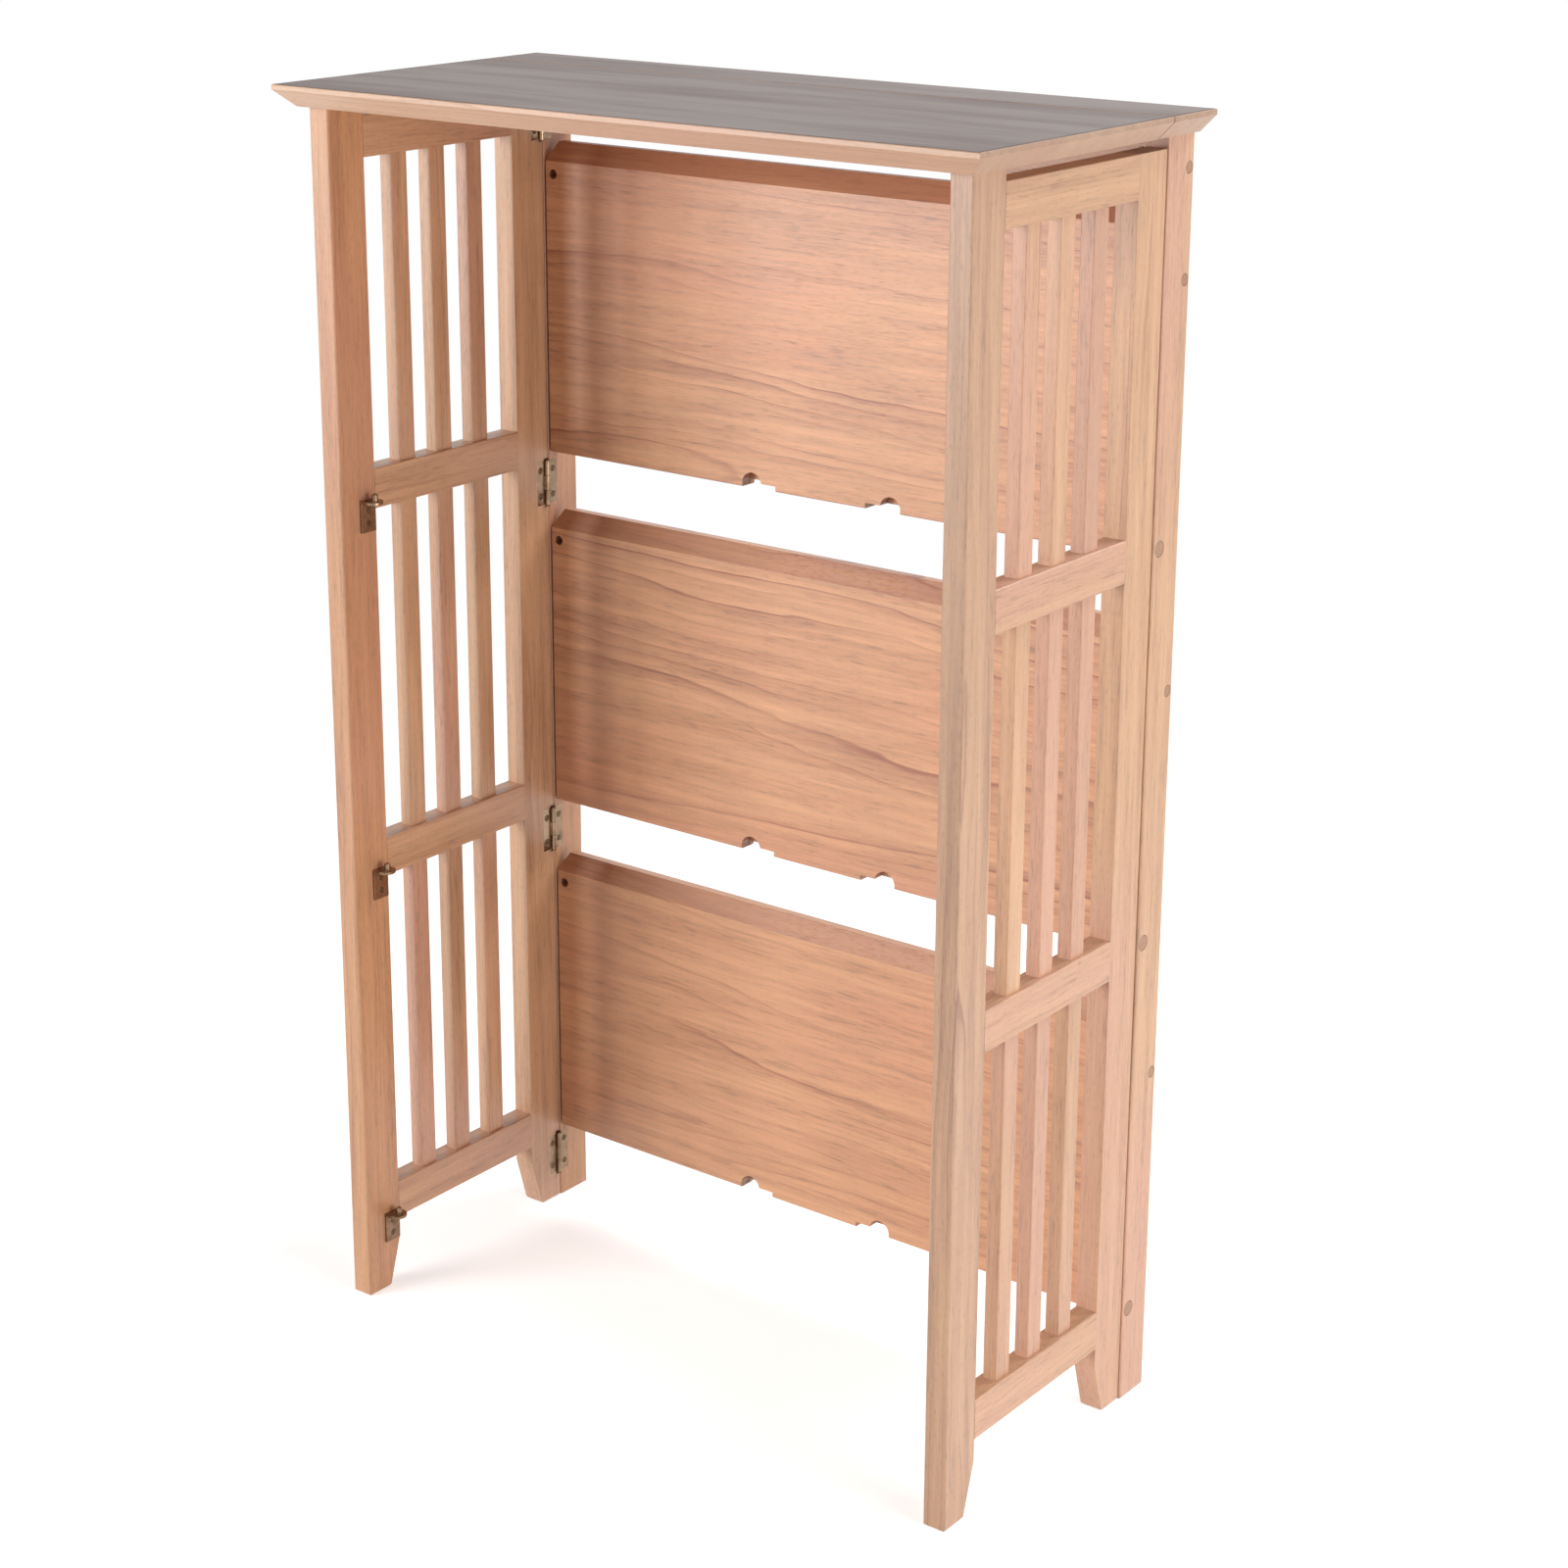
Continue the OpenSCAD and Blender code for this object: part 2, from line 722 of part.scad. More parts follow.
module shelf_bracket(z) {
    // Middle of the round end of the tab
    tab_mid_x = post_in - bracket_reach + bracket_w / 2;
    difference() {
        union() {
            translate([post_in - bracket_t, bracket_y - bracket_w / 2, z - bracket_leaf_h])
                cube([bracket_t, bracket_w, bracket_leaf_h]);
            translate([0, 0, z - bracket_t]) linear_extrude(bracket_t) intersection() {
                translate([post_in - bracket_reach, bracket_y - bracket_w / 2])
                    square([bracket_reach, bracket_w]);
                union() {
                    translate([tab_mid_x, bracket_y]) circle(r = bracket_w / 2);
                    translate([tab_mid_x, bracket_y - bracket_w / 2])
                        square([bracket_reach, bracket_w]);
                }
            }
        }
        rod_z([stud_x, bracket_y, z - bracket_t - over], stud_r, bracket_t + 2 * over);
        for (dz = bracket_screw_dzs)
            wood_screw_x([post_in - bracket_t, bracket_y, z - dz], wood_screw_l);
    }
}

module shelf_brackets_right() {
    color(bronze) for (z = bracket_zs)
        shelf_bracket(z);
}

// A riveted stud with a bevelled tip
module bracket_studs_right() {
    tip = stud_r * 0.32;
    head_h = 1;
    color(bronze) for (z = bracket_zs) {
        rod_z([stud_x, bracket_y, z - bracket_t], stud_r, bracket_t + stud_up - tip);
        translate([stud_x, bracket_y, z + stud_up - tip])
            cylinder(h = tip, r1 = stud_r, r2 = stud_r - tip);
        rod_z([stud_x, bracket_y, z - bracket_t - head_h], stud_r + head_h, head_h);
    }
}

// ---- Shelves, tipped up ----

// Outline seen from the front, past the board at the top and bottom except at its notches
function shelf_outline(z0) = let (
    top = z0 + shelf_d,
    lean = shelf_corner_x / shelf_corner_z,
    x_top = shelf_x - shelf_corner_x - lean * over
) [
    [-shelf_x, z0 - over], [-notch_x[1], z0 - over], [-notch_x[1], z0 + notch_h],
    [-notch_x[0], z0 + notch_h], [-notch_x[0], z0 - over],
    [notch_x[0], z0 - over], [notch_x[0], z0 + notch_h], [notch_x[1], z0 + notch_h],
    [notch_x[1], z0 - over], [shelf_x, z0 - over],
    [shelf_x, top - shelf_corner_z], [x_top, top + over],
    [-x_top, top + over], [-shelf_x, top - shelf_corner_z]
];

// Section of a shelf seen from the side, with the wide bevel under its front edge. Its other
// edges have small bevels
function shelf_section(z0) = let (
    top = z0 + shelf_d,
    bevel = 0.8
) [
    [shelf_front_y, z0 + bevel], [shelf_front_y + bevel, z0],
    [shelf_rear_y - bevel, z0], [shelf_rear_y, z0 + bevel],
    [shelf_rear_y, top - bevel], [shelf_rear_y - bevel, top],
    [shelf_front_y + shelf_bevel_in, top], [shelf_front_y, top - shelf_bevel_h]
];

module shelf(z0) {
    color(shelf_wood) difference() {
        intersection() {
            from_front(0, rear_y) polygon(shelf_outline(z0));
            from_side(-top_w, top_w) polygon(shelf_section(z0));
        }
        both_sides() {
            rod_x([shelf_x - pivot_bore_l, pivot_y, z0 + pivot_up], pivot_r + pivot_play,
                  pivot_bore_l + over);
            rod_y([stud_x, shelf_front_y - over, z0 + pivot_up + pivot_y - bracket_y],
                  stud_hole_r, stud_hole_l + over);
            rod_y([recess_x, shelf_front_y - over, z0 + recess_up], recess_r, recess_l + over);
        }
    }
}

// ---- The pieces by name ----

back_post_left();
back_post_right();
back_rail_top();
low_back_rail(2);  // back_rail_upper
low_back_rail(1);  // back_rail_middle
low_back_rail(0);  // back_rail_lower
back_rail_dowels();
back_rail_screws();
rail_screw_plugs();
shelf_pivot_screws();
pivot_plugs();
top_rear_strip();
top_strip_dowels();
color(bronze) left_of_right() right_post_leaves();  // left_hinge_post_leaves
color(bronze) right_post_leaves();  // right_hinge_post_leaves
color(bronze) both_sides() hinge_pins_right();  // side_hinge_pins
color(bronze) both_sides() leaf_screws_right(post_leaf_screw_y);  // post_hinge_screws
top_hinge_strip_leaves();
top_hinge_pins();
top_hinge_strip_screws();

left_of_right() side_front_post();  // left_front_post
left_of_right() side_rear_post();  // left_rear_post
left_of_right() side_rail(side_top_rail_z, false, true);  // left_top_rail
left_of_right() side_rail(side_rail_zs[2], true, true);  // left_upper_rail
left_of_right() side_rail(side_rail_zs[1], true, true);  // left_lower_rail
left_of_right() side_rail(side_rail_zs[0], true, false);  // left_bottom_rail
left_of_right() slats(rail_top(2), side_top_rail_z);  // left_top_slats
left_of_right() slats(rail_top(1), side_rail_zs[2]);  // left_middle_slats
left_of_right() slats(rail_top(0), side_rail_zs[1]);  // left_bottom_slats
left_of_right() side_dowels();  // left_side_dowels
color(bronze) left_of_right() right_frame_leaves();  // left_hinge_frame_leaves
color(bronze) left_of_right() leaf_screws_right(frame_leaf_screw_y);  // left_hinge_screws
left_of_right() shelf_brackets_right();  // left_shelf_brackets
left_of_right() bracket_studs_right();  // left_bracket_studs
color(bronze) left_of_right() bracket_screws_right();  // left_bracket_screws

side_front_post();  // right_front_post
side_rear_post();  // right_rear_post
side_rail(side_top_rail_z, false, true);  // right_top_rail
side_rail(side_rail_zs[2], true, true);  // right_upper_rail
side_rail(side_rail_zs[1], true, true);  // right_lower_rail
side_rail(side_rail_zs[0], true, false);  // right_bottom_rail
slats(rail_top(2), side_top_rail_z);  // right_top_slats
slats(rail_top(1), side_rail_zs[2]);  // right_middle_slats
slats(rail_top(0), side_rail_zs[1]);  // right_bottom_slats
side_dowels();  // right_side_dowels
color(bronze) right_frame_leaves();  // right_hinge_frame_leaves
color(bronze) leaf_screws_right(frame_leaf_screw_y);  // right_hinge_screws
shelf_brackets_right();  // right_shelf_brackets
bracket_studs_right();  // right_bracket_studs
color(bronze) bracket_screws_right();  // right_bracket_screws

shelf(shelf_zs[2]);  // upper_shelf
shelf(shelf_zs[1]);  // middle_shelf
shelf(shelf_zs[0]);  // lower_shelf

top_front_leaf();
top_hinge_front_leaves();
top_hinge_front_screws();
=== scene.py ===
"""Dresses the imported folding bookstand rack: its timber, bronze fittings, screws and wood plugs.

Every piece stands in the CAD frame, in metres: +X to the right, +Y to the back, +Z up. Each
sub-assembly is a class that makes its own meshes and gives its CAD nodes their finishes.
"""

from __future__ import annotations

import logging
import math
import random
from dataclasses import dataclass, field, replace
from enum import Enum
from functools import cached_property
from typing import Iterator, Sequence

import bmesh
import bpy
from bmesh.types import BMEdge, BMesh, BMFace, BMVert
from bpy.types import Material, Mesh, Node, NodeTree, Object
from bpy.types import NodeSocket as Socket
from mathutils import Color, Euler, Matrix, Vector


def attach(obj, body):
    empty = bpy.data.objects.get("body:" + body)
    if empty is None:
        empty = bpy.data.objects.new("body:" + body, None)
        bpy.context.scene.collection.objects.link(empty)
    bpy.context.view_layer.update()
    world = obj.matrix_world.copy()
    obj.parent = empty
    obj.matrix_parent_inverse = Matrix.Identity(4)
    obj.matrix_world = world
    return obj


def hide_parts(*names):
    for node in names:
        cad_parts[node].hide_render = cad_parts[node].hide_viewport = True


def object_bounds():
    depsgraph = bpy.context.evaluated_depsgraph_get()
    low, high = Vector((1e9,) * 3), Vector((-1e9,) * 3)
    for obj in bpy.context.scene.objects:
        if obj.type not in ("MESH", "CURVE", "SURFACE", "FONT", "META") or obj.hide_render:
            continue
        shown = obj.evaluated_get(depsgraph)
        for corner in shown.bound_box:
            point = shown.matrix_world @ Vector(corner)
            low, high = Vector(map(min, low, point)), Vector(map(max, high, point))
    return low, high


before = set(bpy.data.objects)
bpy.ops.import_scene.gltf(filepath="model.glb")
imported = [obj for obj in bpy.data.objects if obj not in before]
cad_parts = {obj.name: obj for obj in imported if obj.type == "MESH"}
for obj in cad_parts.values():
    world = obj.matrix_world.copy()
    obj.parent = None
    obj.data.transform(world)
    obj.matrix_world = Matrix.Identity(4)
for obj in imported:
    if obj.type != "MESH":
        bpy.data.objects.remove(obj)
CAD_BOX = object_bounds()

log = logging.getLogger("bookstand")

MM = 0.001

Colour = tuple[float, float, float]
Point = tuple[float, float, float]
Pair = tuple[float, float]
# Start and end of a NodeBench.ramp, and its low and high where they aren't 0 and 1
Ramp = tuple[float, ...]
Sockets = bpy.types.bpy_prop_collection
Looks = tuple[object, object, object]

WHITE: Colour = (1.0, 1.0, 1.0)


# ---- Colours and choices ----

SCREEN_WHITE = 255


def srgb(red: int, green: int, blue: int) -> Colour:
    """A colour written in 0 to 255 screen values, as linear values for a shader."""
    return tuple((Color((red, green, blue)) / SCREEN_WHITE).from_srgb_to_scene_linear())


class Grain(Enum):
    """The way that the grain runs; the value turns that way on to X."""

    ALONG_X = (0.0, 0.0, 0.0)
    ALONG_Y = (0.0, 0.0, -math.pi / 2)
    ALONG_Z = (0.0, math.pi / 2, 0.0)

    def turned(self, point: Vector) -> Vector:
        """A point of the CAD frame after the turn that a Mapping node makes."""
        return Euler(self.value).to_matrix() @ point


class Hand(Enum):
    """The side of the rack, as the sign of its X."""

    LEFT = -1
    RIGHT = 1

    @property
    def word(self) -> str:
        """The word that starts the names of this side's CAD nodes."""
        return self.name.lower()


# ---- Placing shader nodes ----


@dataclass(frozen=True)
class Noise:
    """A noise pattern, whose scale counts features in a metre along X, Y and Z."""

    scale: Point = (1.0, 1.0, 1.0)
    detail: float = 1.0
    roughness: float = 0.5


@dataclass
class NodeBench:
    """Adds nodes to one shader tree and joins them."""

    # Sockets of a Mix node that mixes colours
    MIX_SHARE, MIX_FIRST, MIX_SECOND, MIX_RESULT = 0, 6, 7, 2

    tree: NodeTree

    @cached_property
    def here(self) -> Sockets:
        """Object, the point on the piece's surface, and Normal, the way it looks there."""
        return self.node("ShaderNodeTexCoord").outputs

    def node(self, kind: str, inputs: dict[object, object] | None = None,
             **settings: object) -> Node:
        """Adds a node.

        Args:
            kind: the node's type name.
            inputs: what goes into it, by the input's name or number.
            settings: its properties.

        Returns:
            The new node.
        """
        node = self.tree.nodes.new(kind)
        for name, value in settings.items():
            setattr(node, name, value)
        self.fill(node, inputs or {})
        return node

    def fill(self, node: Node, inputs: dict[object, object]) -> None:
        """Puts values on several inputs of a node, by their names or numbers."""
        for key, value in inputs.items():
            self.put(node.inputs[key], value)

    def put(self, target: Socket, value: object) -> None:
        """Links a socket to an input, or writes a constant on it.

        Args:
            target: the input.
            value: an output socket, a number, or a sequence of numbers.
        """
        if isinstance(value, Socket):
            self.tree.links.new(value, target)
        elif target.type == "RGBA" and len(value) == 3:
            target.default_value = (*value, 1.0)
        else:
            target.default_value = value

    def math(self, operation: str, first: object, second: object = 0.0,
             clamp: bool = False) -> Socket:
        """The result of a Math node, kept to 0 to 1 where clamp is set."""
        return self.node("ShaderNodeMath", {0: first, 1: second}, operation=operation,
                         use_clamp=clamp).outputs[0]

    def plus(self, first: object, second: object, clamp: bool = False) -> Socket:
        """The sum of two values."""
        return self.math("ADD", first, second, clamp)

    def minus(self, first: object, second: object) -> Socket:
        """The first value less the second."""
        return self.math("SUBTRACT", first, second)

    def times(self, first: object, *others: object) -> Socket:
        """The product of several values."""
        for other in others:
            first = self.math("MULTIPLY", first, other)
        return first

    def swing(self, value: object, width: object) -> Socket:
        """A value of 0 to 1 as one that swings round 0 over a width."""
        return self.times(self.minus(value, 0.5), width)

    def ramp(self, value: object, start: float, end: float, low: float = 0.0,
             high: float = 1.0) -> Socket:
        """Maps a value from one range to another, eased in and out and clamped.

        Args:
            value: the value.
            start: where the result is low.
            end: where the result is high.
            low: the result at start.
            high: the result at end.

        Returns:
            The mapped value.
        """
        inputs = {"Value": value, "From Min": start, "From Max": end, "To Min": low,
                  "To Max": high}
        return self.node("ShaderNodeMapRange", inputs, clamp=True,
                         interpolation_type="SMOOTHSTEP").outputs["Result"]

    def mix(self, share: object, first: object, second: object) -> Socket:
        """The first colour with a share of the second."""
        inputs = {self.MIX_SHARE: share, self.MIX_FIRST: first, self.MIX_SECOND: second}
        return self.node("ShaderNodeMix", inputs, data_type="RGBA").outputs[self.MIX_RESULT]

    def split(self, vector: object) -> tuple[Socket, ...]:
        """The X, Y and Z of a vector."""
        return tuple(self.node("ShaderNodeSeparateXYZ", {0: vector}).outputs)

    def join(self, x: object, y: object, z: object) -> Socket:
        """A vector from its three parts."""
        return self.node("ShaderNodeCombineXYZ", {0: x, 1: y, 2: z}).outputs[0]

    def vector(self, operation: str, inputs: dict[object, object]) -> Node:
        """One Vector Math node."""
        return self.node("ShaderNodeVectorMath", inputs, operation=operation)

    def length(self, vector: object) -> Socket:
        """The length of a vector."""
        return self.vector("LENGTH", {0: vector}).outputs["Value"]

    def scaled(self, vector: object, scale: object) -> Socket:
        """A vector or colour times a number."""
        return self.vector("SCALE", {0: vector, "Scale": scale}).outputs[0]

    def noise(self, vector: object, noise: Noise) -> Socket:
        """The value of a noise pattern at a point in metres, about 0 to 1."""
        point = self.vector("MULTIPLY", {0: vector, 1: noise.scale}).outputs[0]
        inputs = {"Vector": point, "Scale": 1.0, "Detail": noise.detail,
                  "Roughness": noise.roughness}
        return self.node("ShaderNodeTexNoise", inputs).outputs[0]

    def lottery(self, value: object) -> Socket:
        """A random number from 0 to 1 that depends on the value alone."""
        return self.node("ShaderNodeTexWhiteNoise", {"W": value},
                         noise_dimensions="1D").outputs["Value"]

    def mapped(self, vector: object, turn: Point, shift: Sequence[float] = (0, 0, 0)) -> Socket:
        """A vector that is turned and then shifted."""
        return self.node("ShaderNodeMapping", {"Vector": vector, "Rotation": turn,
                                               "Location": tuple(shift)}).outputs[0]

    def bump(self, height: Socket, distance: float, normal: Socket) -> Socket:
        """A normal bent by a height, at half the strength of its distance."""
        return self.node("ShaderNodeBump", {"Height": height, "Distance": distance,
                                            "Normal": normal, "Strength": 0.5}).outputs[0]


class EffectGroup:
    """A shader node group in the making: its tree, its bench and its two end nodes."""

    def __init__(self, name: str, inputs: dict[str, str], outputs: dict[str, str]) -> None:
        """Makes the tree with its named sockets.

        Args:
            name: the group's name.
            inputs: the kinds of its inputs, by their names.
            outputs: the kinds of its outputs.
        """
        self.inputs = inputs
        self.tree = bpy.data.node_groups.new(name, "ShaderNodeTree")
        self.bench = NodeBench(self.tree)
        for way, sockets in (("INPUT", inputs), ("OUTPUT", outputs)):
            for socket, kind in sockets.items():
                self.tree.interface.new_socket(socket, in_out=way, socket_type=kind)
        self._entry = self.bench.node("NodeGroupInput")
        self._exit = self.bench.node("NodeGroupOutput")

    def given(self, name: str) -> Socket:
        """The socket inside the group that carries an input."""
        return self._entry.outputs[name]

    def give(self, name: str, value: Socket) -> None:
        """Joins a value to an output of the group."""
        self.bench.put(self._exit.inputs[name], value)

    def place(self, bench: NodeBench, finish: object, **values: object) -> Node:
        """Uses the group in a material.

        Args:
            bench: the material's bench.
            finish: gives the inputs that have the names of its fields.
            values: other inputs, named as fields would be.

        Returns:
            The group's node.
        """
        node = bench.node("ShaderNodeGroup", node_tree=self.tree)
        for name in self.inputs:
            as_field = name.lower().replace(" ", "_")
            value = values.get(as_field, getattr(finish, as_field, None))
            if value is not None:
                bench.put(node.inputs[name], value)
        return node


FLOAT = "NodeSocketFloat"
VECTOR = "NodeSocketVector"
COLOUR = "NodeSocketColor"


@dataclass(frozen=True)
class Timber:
    """What all timber here has in common; each finish sets the strengths."""

    # The sticks of one node come from places at most this far apart, along and across a trunk
    stick_along: float = 7.0
    stick_across: float = 0.05
    # Added to a stick's number to draw again
    next_draw: float = 17.3
    wave: Noise = Noise((1.7, 8.0, 8.0))
    # Kinks in the rings, and how many ring gaps deep they are
    kinks: tuple[tuple[Noise, float], ...] = (
        (Noise((4.0, 19.0, 19.0)), 2.6), (Noise((24.0, 130.0, 130.0)), 0.35))
    # How fast the rings run ahead and fall back on their way out, and by how many at most
    uneven_rate: float = 0.31
    uneven_rings: float = 2.6
    # Parts of a year in which the wood darkens, with their weights, and turns pale again
    darkening: tuple[tuple[Ramp, float], ...] = (((0.1, 0.95), 0.45), ((0.8, 0.94), 0.7))
    paling: Ramp = (0.94, 1.0, 1.0, 0.0)
    # How rare dark years are, and how dark the palest year still is
    rarity: float = 1.8
    least_dark: float = 0.12
    # Stretches where the rings are faint
    faint: Noise = Noise((3.4, 26.0, 26.0))
    faint_ramp: Ramp = (0.32, 0.66, 0.2, 1.0)
    fibre: Noise = Noise((15.0, 420.0, 420.0), 3.0, 0.65)
    band: Noise = Noise((4.5, 85.0, 85.0), 2.0, 0.6)
    # Short dark dashes, fewer where the bands are pale
    dash: Noise = Noise((48.0, 560.0, 560.0))
    dash_ramp: Ramp = (0.53, 0.7)
    dash_bands: Ramp = (0.4, 0.62, 0.25, 1.0)
    pore: Noise = Noise((150.0, 2300.0, 2300.0), 0.0)
    pore_ramp: Ramp = (0.62, 0.74)
    # Patches of blush, more of them on some sticks
    patch: Noise = Noise((2.4, 9.0, 9.0))
    patch_luck: float = 0.35
    patch_ramp: Ramp = (0.36, 0.64)
    patch_weight: float = 0.72
    # Share of late wood all over
    base_dark: float = 0.14
    fibre_gain: float = 2.0
    end_dark: float = 0.38
    # What late wood, fibre, pores and end grain add to the height and to the dullness
    ring_height: float = 0.35
    fibre_height: float = 0.5
    fibre_dull: float = 0.12
    pore_dull: float = 0.2
    end_dull: float = 0.15

    def group(self) -> EffectGroup:
        """Timber sawn from a trunk whose middle runs along X through the origin of Vector.

        Growth rings lie round that line, drift along it and waver. Fibre, pores and slow
        changes of tone run along it.

        Returns:
            The group. Stick picks another trunk for each separate stick in one node.
        """
        numbers = ("Stick", "Ring Gap", "Ring Drift", "Waver", "Ring Strength", "Band Strength",
                   "Fibre Strength", "Pore Strength", "Dash Strength", "Tone Spread", "End")
        inputs = {"Vector": VECTOR, **dict.fromkeys(numbers, FLOAT),
                  **dict.fromkeys(("Early", "Late", "Blush"), COLOUR)}
        group = EffectGroup("timber", inputs,
                            {"Color": COLOUR, "Height": FLOAT, "Dullness": FLOAT})
        b, given = group.bench, group.given
        x, y, z = b.split(given("Vector"))
        pick = b.lottery(given("Stick"))
        pick_too = b.lottery(b.plus(given("Stick"), self.next_draw))
        x = b.plus(x, b.times(pick, self.stick_along))
        y = b.plus(y, b.swing(pick_too, self.stick_across))
        point = b.join(x, y, z)

        # Rings: the distance from the trunk's middle, wavering, cut into yearly steps
        gap = given("Ring Gap")
        wave = b.swing(b.noise(point, self.wave), given("Waver"))
        for kink, depth in self.kinks:
            wave = b.plus(wave, b.swing(b.noise(point, kink), b.times(gap, depth)))
        reach = b.plus(b.length(b.join(0.0, y, z)), b.times(x, given("Ring Drift")))
        rings = b.math("DIVIDE", b.plus(reach, wave), gap)
        uneven = b.node("ShaderNodeTexNoise", noise_dimensions="1D")
        b.fill(uneven, {"W": b.times(rings, self.uneven_rate), "Scale": 1.0, "Detail": 1.0})
        rings = b.plus(rings, b.times(uneven.outputs[0], self.uneven_rings))
        year = b.math("FLOOR", rings)
        season = b.math("FRACT", rings)
        growth = b.plus(*(b.times(b.ramp(season, *part), weight)
                          for part, weight in self.darkening))
        growth = b.times(growth, b.ramp(season, *self.paling))
        darkness = b.plus(b.math("POWER", b.lottery(year), self.rarity), self.least_dark)
        faint = b.ramp(b.noise(point, self.faint), *self.faint_ramp)
        late = b.times(growth, darkness, faint)

        # Fibre, bands, dashes and pores are drawn out along the grain
        fibre = b.noise(point, self.fibre)
        band = b.noise(point, self.band)
        dash = b.times(b.ramp(b.noise(point, self.dash), *self.dash_ramp),
                       b.ramp(band, *self.dash_bands))
        pore = b.ramp(b.noise(point, self.pore), *self.pore_ramp)
        patch = b.plus(b.noise(point, self.patch), b.swing(pick_too, self.patch_luck))
        patch = b.ramp(patch, *self.patch_ramp)

        share = b.plus(b.times(late, given("Ring Strength")),
                       b.swing(band, given("Band Strength")))
        share = b.plus(share, self.base_dark, clamp=True)
        colour = b.mix(share, given("Early"), given("Late"))
        colour = b.mix(b.times(patch, self.patch_weight), colour, given("Blush"))
        tone = b.times(b.swing(fibre, given("Fibre Strength")), self.fibre_gain)
        tone = b.plus(b.plus(tone, 1.0), b.swing(pick, given("Tone Spread")))
        for mark, strength in ((pore, given("Pore Strength")), (dash, given("Dash Strength")),
                               (given("End"), self.end_dark)):
            tone = b.minus(tone, b.times(mark, strength))
        group.give("Color", b.scaled(colour, tone))

        height = b.plus(b.times(late, self.ring_height), b.times(fibre, self.fibre_height))
        group.give("Height", b.minus(height, pore))
        dull = b.plus(b.times(fibre, self.fibre_dull), b.times(pore, self.pore_dull))
        group.give("Dullness", b.plus(dull, b.times(given("End"), self.end_dull)))
        return group


@dataclass(frozen=True)
class SoftEdges:
    """How edges are found and softened."""

    samples: int = 4
    # How well the soft and the flat normal agree where the mask starts and where it is full
    agree: Ramp = (0.99, 0.85)

    def group(self) -> EffectGroup:
        """A rounded normal, and a mask that is 1 on the edges themselves.

        Returns:
            The group. Edge Radius is the rounding in metres.
        """
        group = EffectGroup("soft_edges", {"Edge Radius": FLOAT},
                            {"Normal": VECTOR, "Edge": FLOAT})
        b = group.bench
        bevel = b.node("ShaderNodeBevel", {"Radius": group.given("Edge Radius")},
                       samples=self.samples)
        soft = bevel.outputs["Normal"]
        flat = b.node("ShaderNodeNewGeometry").outputs["True Normal"]
        agree = b.vector("DOT_PRODUCT", {0: soft, 1: flat}).outputs["Value"]
        group.give("Normal", soft)
        group.give("Edge", b.ramp(agree, *self.agree))
        return group


@dataclass(frozen=True)
class Patina:
    """What all plated metal here has in common."""

    cloud: Noise = Noise(detail=4.0, roughness=0.6)
    cloud_ramp: Ramp = (0.35, 0.68)
    scratch: Noise = Noise((2600.0, 900.0, 260.0), 2.0)
    scratch_ramp: Ramp = (0.58, 0.75)
    scratch_depth: float = 0.5

    def group(self) -> EffectGroup:
        """Cloudy tarnish on metal: a mask of darker clouds, fine scratches and a height.

        Returns:
            The group. Vector is a point in metres.
        """
        group = EffectGroup("patina", {"Vector": VECTOR, "Cloud Size": FLOAT},
                            {"Clouds": FLOAT, "Scratches": FLOAT, "Height": FLOAT})
        b = group.bench
        point = group.given("Vector")
        in_clouds = b.scaled(point, b.math("DIVIDE", 1.0, group.given("Cloud Size")))
        clouds = b.ramp(b.noise(in_clouds, self.cloud), *self.cloud_ramp)
        scratches = b.ramp(b.noise(point, self.scratch), *self.scratch_ramp)
        group.give("Clouds", clouds)
        group.give("Scratches", scratches)
        group.give("Height", b.minus(clouds, b.times(scratches, self.scratch_depth)))
        return group


@dataclass
class Effects:
    """The shader node groups that the finishes share."""

    timber: EffectGroup = field(default_factory=Timber().group)
    edges: EffectGroup = field(default_factory=SoftEdges().group)
    patina: EffectGroup = field(default_factory=Patina().group)


# ---- Finishes ----


def blank_material(name: str) -> tuple[Material, NodeBench, Node]:
    """Starts a material.

    Args:
        name: its name.

    Returns:
        The material, a bench for its nodes, and its shader.
    """
    material = bpy.data.materials.new(name)
    material.use_nodes = True
    shader = material.node_tree.nodes["Principled BSDF"]
    return material, NodeBench(material.node_tree), shader


@dataclass(frozen=True)
class WoodFinish:
    """Bare or lacquered wood: its colours, its figure and its sheen."""

    name: str
    early: Colour
    late: Colour
    blush: Colour
    ring_gap: float = 0.0045
    ring_drift: float = 0.012
    waver: float = 0.006
    ring_strength: float = 0.62
    band_strength: float = 0.7
    fibre_strength: float = 0.16
    pore_strength: float = 0.13
    dash_strength: float = 0.09
    tone_spread: float = 0.16
    roughness: float = 0.46
    specular: float = 0.6
    coat: float = 0.85
    coat_roughness: float = 0.38
    bump: float = 0.00006
    edge_radius: float = 0.0007
    # How much lighter the edges are, a painted highlight along the arrises; a negative value
    # darkens them instead
    edge_tone: float = 0.08
    # How far the slanting faces go towards the late wood, a painted shade on the bevels
    slant: float = 0.0
    # How squarely a face looks along an axis where it starts to be, and is, a slanting one
    square: Ramp = (0.96, 0.93)
    # How squarely a face looks along the grain where it starts to be, and is, end grain
    end_grain: Ramp = (0.45, 0.9)


@dataclass(frozen=True)
class Cut:
    """How a piece was cut from its trunk."""

    grain: Grain
    # Where the trunk's middle lies from the middle of the piece, across the grain, in metres
    pith: Pair = (0.03, 0.045)
    # Distance from one stick to the next along turned Y, where a node holds several
    stick_pitch: float = 0.0
    # Ranges of the draws: place along the trunk, share of the pith's depth, first stick
    trunk_range: Pair = (-5, 5)
    depth_range: Pair = (0.7, 1.2)
    stick_range: Pair = (3, 90)


